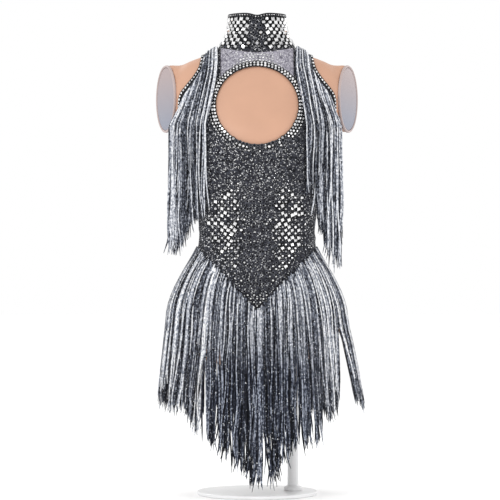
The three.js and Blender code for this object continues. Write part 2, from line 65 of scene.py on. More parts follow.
ROW = 4 * MM  # height of a row of facets
DOME = (86, 3, 24)  # rows below the hip line: first and last angle, and how many
REACH = 0.26  # how far cutters run out of the body
FAR = 1.0  # well past every edge
FACING = {"front": -1, "back": 1}  # which way along Y a side looks
BOLD_SEED = 11  # seed of everything uneven

# Sections of the form from the hip up: half width, depth in front of and behind the side
# seam, and how square the section is, where 2 is an ellipse.
SECTIONS = table(
    "z half front back square",
    (0.340, 0.167, 0.104, 0.122, 2.00), (0.372, 0.164, 0.104, 0.118, 2.00),
    (0.404, 0.154, 0.101, 0.110, 2.05), (0.436, 0.139, 0.097, 0.098, 2.10),
    (0.472, 0.121, 0.092, 0.087, 2.15), (0.518, 0.113, 0.088, 0.079, 2.20),
    (0.560, 0.117, 0.094, 0.081, 2.20), (0.600, 0.124, 0.104, 0.085, 2.25),
    (0.645, 0.132, 0.121, 0.090, 2.30), (0.690, 0.140, 0.130, 0.094, 2.35),
    (0.722, 0.146, 0.126, 0.096, 2.40), (0.752, 0.161, 0.112, 0.095, 2.50),
    (0.784, 0.171, 0.096, 0.091, 2.55), (0.815, 0.173, 0.082, 0.084, 2.55),
    (0.840, 0.165, 0.070, 0.075, 2.50), (0.857, 0.149, 0.062, 0.067, 2.40),
    (0.868, 0.126, 0.057, 0.061, 2.30), (0.877, 0.099, 0.054, 0.057, 2.20),
    (0.887, 0.079, 0.053, 0.055, 2.10), (0.903, 0.067, 0.052, 0.054, 2.05),
    (0.928, 0.057, 0.051, 0.053, 2.00), (0.970, 0.053, 0.051, 0.052, 2.00),
)
# Edges of the cloth seen from the front, as x and z: the armhole from the shoulder down to the
# underarm, the leg from the crotch out to the side, and the line of the shoulder fringe.
ARMHOLE = [
    (0.111, 0.905), (0.111, 0.872), (0.116, 0.850), (0.127, 0.831), (0.143, 0.811),
    (0.153, 0.797), (0.156, 0.780), (0.155, 0.756), (0.1515, 0.737), (0.148, 0.725),
    (0.1462, 0.717), (0.1464, 0.712), (0.150, 0.710),
]
LEG = [
    (0.033, 0.258), (0.040, 0.270), (0.062, 0.289), (0.100, 0.315), (0.140, 0.340), (0.175, 0.354),
]
SHOULDER_LINE = [
    (0.082, 0.877), (0.092, 0.871), (0.100, 0.861), (0.105, 0.846),
    (0.114, 0.831), (0.126, 0.815), (0.136, 0.802), (0.143, 0.790),
]
# Creases of the stretched knit: where the middle is, how long, wide and high, and the slant.
CREASES = table(
    "turn z long wide high slant",
    (70, 0.533, 0.050, 0.0050, 0.0016, 14), (76, 0.511, 0.062, 0.0060, 0.0020, 4),
    (66, 0.493, 0.040, 0.0050, 0.0014, -12), (-72, 0.527, 0.058, 0.0055, 0.0019, -9),
    (-68, 0.503, 0.046, 0.0050, 0.0015, 7), (64, 0.655, 0.034, 0.0060, 0.0014, 38),
    (-62, 0.660, 0.040, 0.0060, 0.0016, -34), (128, 0.528, 0.060, 0.0065, 0.0022, -8),
    (150, 0.506, 0.052, 0.0060, 0.0018, 5), (137, 0.551, 0.038, 0.0055, 0.0014, -16),
    (-134, 0.519, 0.064, 0.0065, 0.0021, 10), (-152, 0.545, 0.044, 0.0055, 0.0016, -3),
    (24, 0.918, 0.030, 0.0050, 0.0010, 20), (-40, 0.912, 0.028, 0.0050, 0.0012, -24),
)
# Radius that turns a crease's turn into a length: of the trunk, and of the neck above a height.
TRUNK_RADIUS, NECK_RADIUS, NECK_FROM = 0.10, 0.06, 0.85

# --- the body's surface ---

TABLE_Z = np.array([row["z"] for row in SECTIONS])


def at_height(column, z):
    """A column of the table at heights z, on a smooth curve through its rows."""
    values = np.array([row[column] for row in SECTIONS])
    slopes = np.empty_like(values)
    slopes[1:-1] = (values[2:] - values[:-2]) / (TABLE_Z[2:] - TABLE_Z[:-2])
    slopes[0] = (values[1] - values[0]) / (TABLE_Z[1] - TABLE_Z[0])
    slopes[-1] = (values[-1] - values[-2]) / (TABLE_Z[-1] - TABLE_Z[-2])
    z = np.asarray(z, float)
    i = np.clip(np.searchsorted(TABLE_Z, z, side="right") - 1, 0, len(TABLE_Z) - 2)
    span = TABLE_Z[i + 1] - TABLE_Z[i]
    t = np.clip((z - TABLE_Z[i]) / span, 0, 1)
    return (
        (2 * t**3 - 3 * t**2 + 1) * values[i]
        + (t**3 - 2 * t**2 + t) * slopes[i] * span
        + (3 * t**2 - 2 * t**3) * values[i + 1]
        + (t**3 - t**2) * slopes[i + 1] * span
    )


def body_point(station, turn):
    """Points of the form's surface. station is metres above the hip line or, below it, minus a
    thousandth of the angle down to the crotch in degrees. turn is 0 in front and 90 at +X."""
    station, turn = np.broadcast_arrays(np.asarray(station, float), np.asarray(turn, float))
    z = HIP_Z + np.maximum(station, 0)
    dip = np.radians(np.clip(-station / MM, 0, 90))
    angle = np.radians(turn)
    power = 2 / at_height("square", z)
    across = np.sign(np.sin(angle)) * np.abs(np.sin(angle)) ** power
    along = np.sign(np.cos(angle)) * np.abs(np.cos(angle)) ** power
    depth = np.where(along > 0, at_height("front", z), at_height("back", z))
    return np.stack(
        [
            across * at_height("half", z) * np.cos(dip),
            -along * depth * np.cos(dip),
            z - (HIP_Z - CROTCH_Z) * np.sin(dip),
        ],
        axis=-1,
    )


def body_normal(station, turn):
    station, turn = np.broadcast_arrays(np.asarray(station, float), np.asarray(turn, float))
    round_it = body_point(station, turn + 1) - body_point(station, turn - 1)
    up = body_point(station + MM, turn) - body_point(station - MM, turn)
    normal = np.cross(round_it, up)
    return normal / np.linalg.norm(normal, axis=-1, keepdims=True)


def skin(station, turn, lift):
    """Points that lie this far outside the form."""
    lift = np.asarray(lift, float)
    return body_point(station, turn) + body_normal(station, turn) * lift[..., None]


def creased(station, turn):
    """How far the creases lift the cloth."""
    z = HIP_Z + np.maximum(station, 0)
    rise = np.zeros(np.broadcast(station, turn).shape)
    for crease in CREASES:
        radius = TRUNK_RADIUS if crease["z"] < NECK_FROM else NECK_RADIUS
        beside = np.radians(((turn - crease["turn"]) + 180) % 360 - 180) * radius
        above = z - crease["z"]
        slant = math.radians(crease["slant"])
        along = beside * math.cos(slant) + above * math.sin(slant)
        off = above * math.cos(slant) - beside * math.sin(slant)
        ends = (along / (crease["long"] / 2)) ** 4
        rise += crease["high"] * np.exp(-((off / crease["wide"]) ** 2) - ends)
    return rise


def depth_at(x, z, column):
    """How far the form reaches in front of or behind the side seam, seen at x and z."""
    share = np.clip(np.abs(x) / at_height("half", z), 0, 1)
    square = at_height("square", z)
    return at_height(column, z) * (1 - share**square) ** (1 / square)


def smoothstep(value, low, high):
    t = np.clip((np.asarray(value, float) - low) / (high - low), 0, 1)
    return t * t * (3 - 2 * t)


def spline(rows, count, fine=24):
    """Evenly spaced points of a smooth curve through rows, first to last."""
    rows = np.array(rows, float)
    padded = np.vstack([2 * rows[0] - rows[1], rows, 2 * rows[-1] - rows[-2]])
    dense = []
    for k in range(len(rows) - 1):
        a, b, c, d = padded[k : k + 4]
        for t in np.linspace(0, 1, fine, endpoint=False):
            dense.append(0.5 * (2 * b + (c - a) * t + (2 * a - 5 * b + 4 * c - d) * t**2
                                + (3 * b - a - 3 * c + d) * t**3))
    dense = np.array(dense + [rows[-1]])
    run = np.concatenate([[0], np.cumsum(np.linalg.norm(np.diff(dense, axis=0), axis=1))])
    wanted = np.linspace(0, run[-1], count)
    return np.stack([np.interp(wanted, run, dense[:, k]) for k in range(dense.shape[1])], axis=1)

# --- meshes ---


def add_object(name, mesh):
    obj = bpy.data.objects.new(name, mesh)
    bpy.context.scene.collection.objects.link(obj)
    return obj


def mesh_of(name, points, faces):
    mesh = bpy.data.meshes.new(name)
    mesh.from_pydata([tuple(p) for p in points], [], [tuple(f) for f in faces])
    mesh.update()
    return mesh


def circle(count):
    return 2 * np.pi * np.arange(count) / count


def ring_faces(rows, count, closed=False):
    """Quads between rings of points, and from the last ring to the first if closed."""
    return [
        (r * count + i, r * count + j, (r + 1) % rows * count + j, (r + 1) % rows * count + i)
        for r in range(rows if closed else rows - 1)
        for i, j in enumerate([*range(1, count), 0])
    ]


def ring_body(name, rings, first, last):
    """A closed body through rings of points that go round counterclockwise, seen from above."""
    rings = np.asarray(rings)
    rows, count = rings.shape[:2]
    points = np.vstack([rings.reshape(-1, 3), first, last])
    faces = ring_faces(rows, count)
    top = (rows - 1) * count
    for i in range(count):
        j = (i + 1) % count
        faces += [(j, i, len(points) - 2), (top + i, top + j, len(points) - 1)]
    return add_object(name, mesh_of(name, points, faces))


def body_solid(name, lift, top_z, with_creases=True):
    """The whole body from the crotch up, this far outside the form."""
    dome = -np.linspace(*DOME) * MM
    upright = np.arange(0, top_z - HIP_Z - 0.3 * ROW, ROW)
    stations = np.concatenate([dome, upright, [top_z - HIP_Z]])
    turns = np.arange(AROUND) * 360 / AROUND
    station, turn = np.meshgrid(stations, turns, indexing="ij")
    rise = creased(station, turn) if with_creases else 0
    rings = skin(station, turn, lift + rise + 0 * station)
    rings[-1, :, 2] = top_z
    return ring_body(name, rings, (0, 0, CROTCH_Z - lift), (0, 0, top_z))


def prism(name, outline, near=-REACH, far=REACH):
    """A prism along Y from an outline in x and z."""
    x, z = np.array(outline).T
    if np.sum(x * np.roll(z, -1) - np.roll(x, -1) * z) < 0:
        outline = outline[::-1]
    count = len(outline)
    points = [(x, near, z) for x, z in outline] + [(x, far, z) for x, z in outline]
    faces = [(i, (i + 1) % count, (i + 1) % count + count, i + count) for i in range(count)]
    faces += [tuple(reversed(range(count))), tuple(range(count, 2 * count))]
    mesh = mesh_of(name, points, faces)
    mesh.flip_normals()
    return add_object(name, mesh)


def apply_modifiers(obj):
    graph = bpy.context.evaluated_depsgraph_get()
    mesh = bpy.data.meshes.new_from_object(obj.evaluated_get(graph), depsgraph=graph)
    obj.modifiers.clear()
    old = obj.data
    obj.data = mesh
    bpy.data.meshes.remove(old)
    return obj


def cut(obj, tool, operation="DIFFERENCE"):
    change = obj.modifiers.new("cut", "BOOLEAN")
    change.operation = operation
    change.object = tool
    change.solver = "MANIFOLD"
    return apply_modifiers(obj)


def copy_of(obj, name):
    return add_object(name, obj.data.copy())


def drop(*objs):
    for obj in objs:
        mesh = obj.data
        bpy.data.objects.remove(obj)
        bpy.data.meshes.remove(mesh)


def mirrored(outline):
    return [(-x, z) for x, z in outline]


def box_outline(x0, x1, z0, z1):
    return [(x0, z0), (x1, z0), (x1, z1), (x0, z1)]


def keyhole_outline(extra, count=96):
    half, rise = KEYHOLE["half"] + extra, KEYHOLE["rise"] + extra
    return [(half * math.cos(a), KEYHOLE["z"] + rise * math.sin(a)) for a in circle(count)]


ARMHOLE_EDGE = spline(ARMHOLE, 44)
LEG_EDGE = spline(LEG, 28)


def armhole_outline(inwards):
    edge = [(x - inwards, z - 0.75 * inwards) for x, z in ARMHOLE_EDGE]
    return edge + [(REACH, edge[-1][1]), (REACH, ARMHOLE[0][1])]


def leg_outline(inwards):
    edge = [(x - inwards, z + 0.6 * inwards) for x, z in LEG_EDGE]
    below = CROTCH_Z - 0.03
    return [(edge[0][0], below)] + edge + [(REACH, edge[-1][1]), (REACH, below)]


def collar_seam_z(x):
    rise = COLLAR_SEAM["side"] - COLLAR_SEAM["front"]
    return COLLAR_SEAM["front"] + rise * (abs(x) / COLLAR_SEAM["half"]) ** COLLAR_SEAM["power"]


def collar_dip_at(x):
    return COLLAR_DIP["deep"] * math.exp(-((x / COLLAR_DIP["half"]) ** 2))


def above(name, half, count, height, *span):
    """What lies above a line of this height at each x, out to half on both sides."""
    line = [(x, height(x)) for x in np.linspace(-half, half, count)]
    return prism(name, line + [(half, FAR), (-half, FAR)], *span)


def above_collar(name, gap):
    return above(name, 0.098, 41, lambda x: collar_seam_z(x) + gap)


def above_collar_top(name, drop_by):
    return above(name, 0.026, 25, lambda x: COLLAR_Z - collar_dip_at(x) - drop_by, -REACH, 0)


def smooth(obj, angle):
    """Shades smoothly, but sharply over edges that turn more than this."""
    mesh = obj.data
    mesh.polygons.foreach_set("use_smooth", [True] * len(mesh.polygons))
    mesh.set_sharp_from_angle(angle=math.radians(angle))
    return obj

# --- materials ---


def colour(code):
    """Linear colour of an sRGB hex code."""
    parts = [int(code[i : i + 2], 16) / 255 for i in (1, 3, 5)]
    return (*[c / 12.92 if c <= 0.04045 else ((c + 0.055) / 1.055) ** 2.4 for c in parts], 1)


def material(name):
    mat = bpy.data.materials.new(name)
    mat.use_nodes = True
    return mat, mat.node_tree.nodes["Principled BSDF"]


def node(owner, kind, settings=None, **links):
    """Adds a node to a material or a tree, and feeds its inputs."""
    new = getattr(owner, "node_tree", owner).nodes.new(kind)
    for key, value in (settings or {}).items():
        setattr(new, key, value)
    feed(owner, new, **links)
    return new


def feed(owner, target, **links):
    """Sets each input to a value or links it to a socket. i and a number is an input's place."""
    for key, value in links.items():
        by_place = key[0] == "i" and key[1:].isdigit()
        socket = target.inputs[int(key[1:]) if by_place else key.replace("_", " ")]
        if isinstance(value, bpy.types.NodeSocket):
            getattr(owner, "node_tree", owner).links.new(value, socket)
        else:
            socket.default_value = value


def object_coords(mat):
    return node(mat, "ShaderNodeTexCoord").outputs["Object"]


def maths(mat, operation, clamp=False, **links):
    settings = {"operation": operation, "use_clamp": clamp}
    return node(mat, "ShaderNodeMath", settings, **links).outputs[0]


def scaled(mat, value, scale, offset=0.0, clamp=False):
    """value * scale + offset."""
    return maths(mat, "MULTIPLY_ADD", clamp, i0=value, i1=scale, i2=offset)


def vector(mat, operation, **links):
    return node(mat, "ShaderNodeVectorMath", {"operation": operation}, **links).outputs[0]


def noise(mat, place, scale, detail):
    return node(mat, "ShaderNodeTexNoise", Vector=place, Scale=scale, Detail=detail).outputs[0]


def cells(mat, place, scale):
    """A random colour for each cell, and its first two parts."""
    found = node(mat, "ShaderNodeTexVoronoi", Vector=place, Scale=scale).outputs["Color"]
    parts = node(mat, "ShaderNodeSeparateColor", Color=found).outputs
    return found, parts[0], parts[1]


def waves(mat, place, scale, distortion, **settings):
    links = {"Vector": place, "Scale": scale, "Distortion": distortion}
    return node(mat, "ShaderNodeTexWave", settings, **links).outputs[0]


def attribute(mat, name):
    return node(mat, "ShaderNodeAttribute", {"attribute_name": name}).outputs["Fac"]


def mix(mat, share, first, second, blend="MIX"):
    settings = {"data_type": "RGBA", "blend_type": blend}
    return node(mat, "ShaderNodeMix", settings, i0=share, i6=first, i7=second).outputs[2]


def ramp(mat, value, *stops):
    new = node(mat, "ShaderNodeValToRGB", Fac=value)
    elements = new.color_ramp.elements
    while len(elements) < len(stops):
        elements.new(0.5)
    for element, (place, code) in zip(elements, stops):
        element.position = place
        element.color = colour(code) if isinstance(code, str) else (code, code, code, 1)
    return new.outputs["Color"]


def bump(mat, height, strength, distance, **below):
    links = {"Height": height, "Strength": strength, "Distance": distance}
    return node(mat, "ShaderNodeBump", **links, **below).outputs["Normal"]


def glitter(name, base, bright, share, flake, shine):
    """Knit with small metal flakes in it, each tilted its own way, so that some catch the light."""
    mat, shader = material(name)
    place = object_coords(mat)
    colours, chance, gleam = cells(mat, place, 1 / flake)
    patches = scaled(mat, noise(mat, place, 38.0, 4.0), 0.14)  # flakes gather in patches
    lit = scaled(mat, chance, 0.87, patches)
    flakes = ramp(mat, lit, (share, 0.0), (share + 0.04, 1.0))
    loops = waves(mat, place, 260.0, 1.5)
    mottle = noise(mat, place, 170.0, 2.0)
    ground = scaled(mat, mottle, 2.4, scaled(mat, loops, 0.3, -0.85), clamp=True)
    yarn = ramp(mat, ground, (0.0, base[0]), (1.0, base[1]))
    foil = ramp(mat, gleam, (0.35, bright[0]), (1.0, bright[1]))
    tilt = vector(mat, "SUBTRACT", i0=colours, i1=(0.5, 0.5, 0.5))
    tilt = vector(mat, "SCALE", i0=tilt, Scale=0.9)
    straight = node(mat, "ShaderNodeNewGeometry").outputs["Normal"]
    turned = vector(mat, "NORMALIZE", i0=vector(mat, "ADD", i0=straight, i1=tilt))
    feed(
        mat, shader, Base_Color=mix(mat, flakes, yarn, foil), Metallic=scaled(mat, flakes, shine),
        Roughness=scaled(mat, flakes, -0.42, 0.72), Specular_IOR_Level=0.1,
        Normal=bump(mat, loops, 0.35, 0.0004, Normal=turned),
    )
    return mat


def crystal(name, low, high, roughness):
    """Foiled stones: each one's brightness, set by a value of its own, is a painted reflection, its
    own share of light.
    """
    mat, shader = material(name)
    shade = ramp(mat, attribute(mat, "tint"), (0.0, low), (1.0, high))
    feed(mat, shader, Base_Color=shade, Metallic=0.9, Roughness=roughness, Specular_IOR_Level=0.2)
    return mat


def chainette(name, shades, tip_shades, spark):
    """Rayon yarn: each strand's brightness, from a value of its own, is a painted highlight or
    painted shade; its stitches bead it with painted light and dark, and white specks on it are
    painted glints.
    """
    mat, shader = material(name)
    place = object_coords(mat)
    squeezed = node(mat, "ShaderNodeMapping", Vector=place, Scale=(1.0, 1.0, 0.7)).outputs[0]
    # painted beads of highlight and shade along the stitches
    uneven = scaled(mat, noise(mat, squeezed, 310.0, 1.0), 1.5, -0.75)
    shade = maths(mat, "ADD", True, i0=attribute(mat, "tint"), i1=uneven)
    # the strand's painted highlight or shade, mixed towards the darker tip shades where it hangs
    # low
    shaded_yarn = mix(
        mat, attribute(mat, "down"), ramp(mat, shade, *shades), ramp(mat, shade, *tip_shades)
    )
    # painted glints: a few small cells turn near white
    _, chance, _ = cells(mat, place, 620.0)
    glint = ramp(mat, chance, (spark, 0.0), (spark + 0.02, 1.0))
    plies = waves(mat, place, 500.0, 2.0, bands_direction="Z")
    feed(
        mat, shader, Base_Color=mix(mat, glint, shaded_yarn, colour("#f2f4f8")), Roughness=0.45,
        Specular_IOR_Level=0.15, Normal=bump(mat, plies, 0.4, 0.0003),
    )
    return mat


def plain(name, code, roughness, grain=0.0, metallic=0.0, coat=0.0, gloss=0.5):
    """A smooth finish, with a faint unevenness of the moulding or paint."""
    mat, shader = material(name)
    place = object_coords(mat)
    cloud = ramp(mat, noise(mat, place, 14.0, 3.0), (0.3, 0.93), (0.7, 1.0))
    feed(
        mat, shader, Base_Color=mix(mat, 1.0, colour(code), cloud, "MULTIPLY"),
        Normal=bump(mat, noise(mat, place, 900.0, 2.0), grain, 0.0003), Roughness=roughness,
        Metallic=metallic, Coat_Weight=coat, Specular_IOR_Level=gloss,
    )
    return mat


# Charcoal nylon knit with silver foil flakes: sparkles over a near-black ground.
KNIT = glitter(
    "glitter knit", ("#0a0b0e", "#3e3f46"), ("#4c4f59", "#ffffff"), 0.77, 1.8 * MM, 0.8
)
# The same foil on a sheer mauve mesh over skin tone: paler and softer.
MESH = glitter(
    "glitter mesh", ("#62606b", "#aeabb5"), ("#b5b2bd", "#ffffff"), 0.71, 1.8 * MM, 0.6
)
# Charcoal elastic tape: dull, ribbed, closes the edges with a dark line.
ELASTIC = plain("elastic tape", "#1d1e22", 0.65, grain=0.5, gloss=0.15)
# Foil-backed clear stones: near white, with facets that flash; each one's brightness is a painted
# reflection.
SILVER = crystal("foiled crystal", "#3b3f49", "#ffffff", 0.08)
# Foil that shows as a thin ring round the stones with a painted dark reflection and the yoke's
# clear ones.
FOIL = plain("foil ring", "#66676c", 0.3, metallic=0.9)
# Dark stones near the middle of the front: their near-black colour is a painted dark reflection,
# with a small bright facet.
DARK_REFLECTION = crystal("painted dark reflection stone", "#050507", "#2c2e35", 0.10)
# Blackened setting under the clear stones: the dark line round each.
SETTING = plain("black setting", "#08080a", 0.6, gloss=0.1)
# Knotted header of the fringe: the yarn's own grey, dull between the strands.
HEADER = plain("fringe header", "#43464f", 0.7, grain=0.5, gloss=0.15)
# Colours from painted shade to painted highlight, picked by each strand's painted light value.
ROOT_SHADES = [(0.0, "#0d0e12"), (0.3, "#4f535e"), (0.6, "#a3a9b6"), (1.0, "#ffffff")]
# Bright rayon chainette of the shoulder fringe: white-silver with blue-grey shadow.
SILVER_YARN = chainette(
    "silver chainette", ROOT_SHADES,
    [(0.0, "#0a0b0f"), (0.4, "#3b3f4a"), (1.0, "#d3d7e0")], 0.985,
)
# Chainette of the hip fringe: silver up high, darker and bluer low down and in the middle.
SMOKE_YARN = chainette(
    "smoke chainette", ROOT_SHADES,
    [(0.0, "#07080c"), (0.45, "#232733"), (0.75, "#4c5261"), (1.0, "#a3a9b7")], 0.975,
)
# Satin shell of the form, in a warm tan.
SHELL = plain("form shell", "#c6997f", 0.5, grain=0.05)
# Moulded caps on the arms and the neck: mauve, with a painted cool grey shade towards the bottom.
CAP = plain("form cap", "#a39494", 0.55, grain=0.05)
cap_z = node(CAP, "ShaderNodeSeparateXYZ", Vector=object_coords(CAP)).outputs["Z"]
# painted shade: the caps turn cool grey towards their bottom
lower = ramp(CAP, scaled(CAP, cap_z, 8.0, -5.94), (0.0, "#8b8e9b"), (0.75, "#a39494"))
feed(CAP, CAP.node_tree.nodes["Principled BSDF"], Base_Color=lower)
# Pale bead round each arm cap.
RIM = plain("form rim", "#b3a29f", 0.5, grain=0.05)
# White powder coat on steel, with its orange-peel grain.
STEEL = plain("white powder coat", "#e8e8e9", 0.35, grain=0.25, coat=0.3)
# White paper sweep: the little light of its own keeps it as white as the background.
FLOOR = plain("studio floor", "#ffffff", 0.9)
feed(FLOOR, FLOOR.node_tree.nodes["Principled BSDF"], Emission_Strength=0.06)

# --- cloth ---


def wall(name, low, high):
    """The space between two levels outside the form."""
    outer = body_solid(name, high, COLLAR_Z)
    inner = body_solid("inside", low, COLLAR_Z + 0.006)
    cut(outer, inner)
    drop(inner)
    return outer


def slab(x0, x1, z0, z1, near=-REACH, far=REACH):
    return prism("slab", box_outline(x0, x1, z0, z1), near, far)


def trimmed(source, name, *steps):
    """A copy of source, cut by each (operation, tool) in turn."""
    piece = copy_of(source, name)
    for operation, tool in steps:
        cut(piece, tool, operation)
    return piece


KEEP, TAKE = "INTERSECT", "DIFFERENCE"

cloth = wall("cloth", EASE, OUT)
tape = wall("tape", OUT + SEAM, ON_TAPE)
keyhole = prism("keyhole", keyhole_outline(0), -REACH, 0)
keyhole_edge = prism("keyhole edge", keyhole_outline(KEYHOLE["border"]), -REACH, -MM)
armholes, legs = (
    [prism("opening", outline(0)), prism("opening", mirrored(outline(0)))]
    for outline in (armhole_outline, leg_outline)
)
collar_zone = above_collar("collar zone", 0)
body_zone = above_collar("body zone", -SEAM)
front_half = slab(-REACH, REACH, 0, FAR, far=-SEAM / 2)
back_halves = [
    slab(x0, x1, 0, FAR, near=SEAM / 2) for x0, x1 in ((-REACH, -SEAM), (SEAM, REACH))
]
back_slit = slab(-SEAM, SEAM, 0, FAR, near=0)
upper = slab(-REACH, REACH, GUSSET_Z + SEAM / 2, FAR)
lower = slab(-REACH, REACH, 0, GUSSET_Z - SEAM / 2)
yoke_inside, yoke_outside = (
    slab(-half, half, KEYHOLE["z"], FAR, far=0)
    for half in (YOKE_HALF - SEAM / 2, YOKE_HALF + SEAM / 2)
)

trunk = trimmed(
    cloth, "trunk", *[(TAKE, tool) for tool in armholes + legs], (TAKE, body_zone), (KEEP, upper)
)
front = trimmed(trunk, "front_panel", (KEEP, front_half), (TAKE, keyhole), (TAKE, yoke_outside))
yoke = trimmed(trunk, "yoke_panel", (KEEP, front_half), (TAKE, keyhole), (KEEP, yoke_inside))
backs = [
    trimmed(trunk, f"back_panel_{side}", (KEEP, half))
    for side, half in zip(("left", "right"), back_halves)
]
gusset = trimmed(cloth, "gusset_panel", *[(TAKE, tool) for tool in legs], (KEEP, lower))
collar_dip = above_collar_top("collar dip", 0)
collar = trimmed(cloth, "collar_band", (KEEP, collar_zone), (TAKE, back_slit), (TAKE, collar_dip))

collar_top = slab(-REACH, REACH, COLLAR_Z - TAPE_WIDE["collar"], FAR)
lower_dip = above_collar_top("lower dip", TAPE_WIDE["collar"])
cut(collar_top, lower_dip, "UNION")
collar_tape = trimmed(
    tape, "collar_tape", (KEEP, collar_top), (TAKE, back_slit), (TAKE, collar_dip)
)
keyhole_tape = trimmed(tape, "keyhole_tape", (KEEP, keyhole_edge), (TAKE, keyhole))
edge_tapes = {}
for sign, side in ((-1, "left"), (1, "right")):
    half = slab(min(0, sign * REACH), max(0, sign * REACH), 0, FAR)
    for kind, outline, holes in (
        ("armhole", armhole_outline, armholes), ("leg", leg_outline, legs),
    ):
        edge = outline(TAPE_WIDE[kind])
        zone = prism("band", edge if sign > 0 else mirrored(edge))
        hole = holes[0 if sign > 0 else 1]
        piece = trimmed(tape, f"{kind}_tape_{side}", (KEEP, zone), (TAKE, hole), (KEEP, half))
        if kind == "armhole":
            cut(piece, body_zone)
        edge_tapes[kind, side] = piece
        drop(zone)
    drop(half)

# --- dress form and stand ---

STUB = table(
    "x y z rise deep yaw",
    (0.112, 0.002, 0.794, 0.058, 0.034, 0), (0.140, 0.002, 0.794, 0.063, 0.038, 6),
    (0.164, 0.002, 0.792, 0.066, 0.046, 15), (0.180, 0.004, 0.790, 0.067, 0.051, 23),
)
ARM = STUB[-1]  # the arm's flat end
RIM_WIDE = 0.004
BASE = {"radius": 0.120, "thick": 0.007}
POLE = {"x": 0.072, "y": 0.008, "radius": 0.011}
SOCKET = {"radius": 0.020, "z": 0.232, "top": 0.290}


def arm_frame(row, sign):
    """The middle of an arm section, and its directions: across, up and outwards."""
    yaw = math.radians(row["yaw"])
    middle = np.array([sign * row["x"], row["y"], row["z"]])
    across = np.array([sign * math.sin(yaw), math.cos(yaw), 0])
    return middle, across, np.array([0, 0, 1]), np.array([sign * math.cos(yaw), -math.sin(yaw), 0])


def oval(middle, across, up, deep, rise, angles):
    return middle + np.outer(np.cos(angles), across) * deep + np.outer(np.sin(angles), up) * rise


def stub(sign):
    rings = []
    for row in STUB if sign > 0 else STUB[::-1]:
        rings.append(oval(*arm_frame(row, sign)[:3], row["deep"], row["rise"], circle(64)))
    return ring_body("stub", rings, np.mean(rings[0], axis=0), np.mean(rings[-1], axis=0))


def beyond_cap(sign):
    middle, across, up, out = arm_frame(ARM, sign)
    corners = [
        middle + out * far + across * side * 0.062 + up * high * 0.1
        for far in (0, 0.06) for side in (-1, 1) for high in (-1, 1)
    ]
    faces = [(0, 1, 3, 2), (4, 6, 7, 5), (0, 4, 5, 1), (2, 3, 7, 6), (0, 2, 6, 4), (1, 5, 7, 3)]
    mesh = mesh_of("beyond cap", corners, faces)
    if sign < 0:
        mesh.flip_normals()
    return add_object("beyond cap", mesh)


def arm_plate(sign, profile):
    """Rings on the arm's end from rows of how far outside the arm's oval, and how far out."""
    middle, across, up, out = arm_frame(ARM, sign)
    rings = []
    for beyond, level in profile:
        deep, rise = max(ARM["deep"] + beyond, 0), max(ARM["rise"] + beyond, 0)
        rings.append(oval(middle + out * level, across, up, deep, rise, circle(96) * sign))
    return np.array(rings)


def lathe(name, profile, segments=96, at=(0, 0)):
    """A turned body from rows of radius and height that start and end on the axis."""
    x, y = np.cos(circle(segments)), np.sin(circle(segments))
    rings = [
        np.stack([at[0] + r * x, at[1] + r * y, np.full(segments, z)], axis=1)
        for r, z in profile[1:-1]
    ]
    return ring_body(name, rings, (*at, profile[0][1]), (*at, profile[-1][1]))


def rounded(radius, z, size, start, steps=6):
    """Rows of a quarter round, from the angle start in degrees."""
    angles = np.radians(np.linspace(start, start + 90, steps))
    return [(radius + size * math.cos(a), z + size * math.sin(a)) for a in angles]


form = body_solid("form_torso_shell", 0, NECK_Z, with_creases=False)
for shape, operation in ((stub, "UNION"), (beyond_cap, "DIFFERENCE")):
    for sign in (-1, 1):
        end = shape(sign)
        cut(form, end, operation)
        drop(end)

remesh = form.modifiers.new("remesh", "REMESH")
remesh.mode = "VOXEL"
remesh.voxel_size = 4.5 * MM
apply_modifiers(form)
# The shoulders run smoothly into the arms, but under the cloth, below the shoulders and at the
# caps the shell stays where it is.
SOFTEN = {"fade": 0.012, "above": 0.70, "cap": 0.008}
places = np.empty(len(form.data.vertices) * 3)
form.data.vertices.foreach_get("co", places)
places = places.reshape(-1, 3)
edge_x = np.interp(places[:, 2], *ARMHOLE_EDGE[::-1, ::-1].T)
beside = np.abs(places[:, 0])
free = smoothstep(beside - edge_x, 0, SOFTEN["fade"]) * (places[:, 2] > SOFTEN["above"])
yaw = math.radians(ARM["yaw"])
to_cap = (beside - ARM["x"]) * math.cos(yaw) - (places[:, 1] - ARM["y"]) * math.sin(yaw)
free[np.abs(to_cap) < SOFTEN["cap"]] = 0
group = form.vertex_groups.new(name="shoulder")
for index in np.nonzero(free > 0.01)[0]:
    group.add([int(index)], float(free[index]), "REPLACE")
soften = form.modifiers.new("soften", "SMOOTH")
soften.iterations = 14
soften.factor = 0.6
soften.vertex_group = "shoulder"
apply_modifiers(form)
form.vertex_groups.clear()

neck_cap = lathe("neck_cap_disc", [
    (0, NECK_Z + SEAM), (0.045, NECK_Z + SEAM), *rounded(0.0425, 0.9395, 0.0025, 0),
    (0.02, 0.9426), (0, 0.9427),
])
arm_caps, arm_rims = [], []
for sign, side in ((-1, "left"), (1, "right")):
    inner = -RIM_WIDE - SEAM
    rings = arm_plate(sign, [
        (inner, SEAM), (inner, 0.0022), (inner - 0.0003, 0.0028), (inner - 0.001, 0.0033),
        (inner - 0.012, 0.0039), (inner - 0.028, 0.0042),
    ])
    middle, _, _, out = arm_frame(ARM, sign)
    ends = middle + out * SEAM, middle + out * 0.0043
    arm_caps.append(ring_body(f"arm_cap_{side}_plate", rings, *ends))
    bead = [
        (-RIM_WIDE / 2 + 0.00025 - 0.00225 * math.cos(a), 0.0025 + 0.0022 * math.sin(a))
        for a in np.linspace(0, math.pi, 9)
    ]
    rings = arm_plate(sign, [(-RIM_WIDE, SEAM), *bead, (0.0005, SEAM)])
    faces = ring_faces(*rings.shape[:2], closed=True)
    rim = mesh_of("rim", rings.reshape(-1, 3), faces)
    arm_rims.append(add_object(f"arm_rim_{side}_bead", rim))

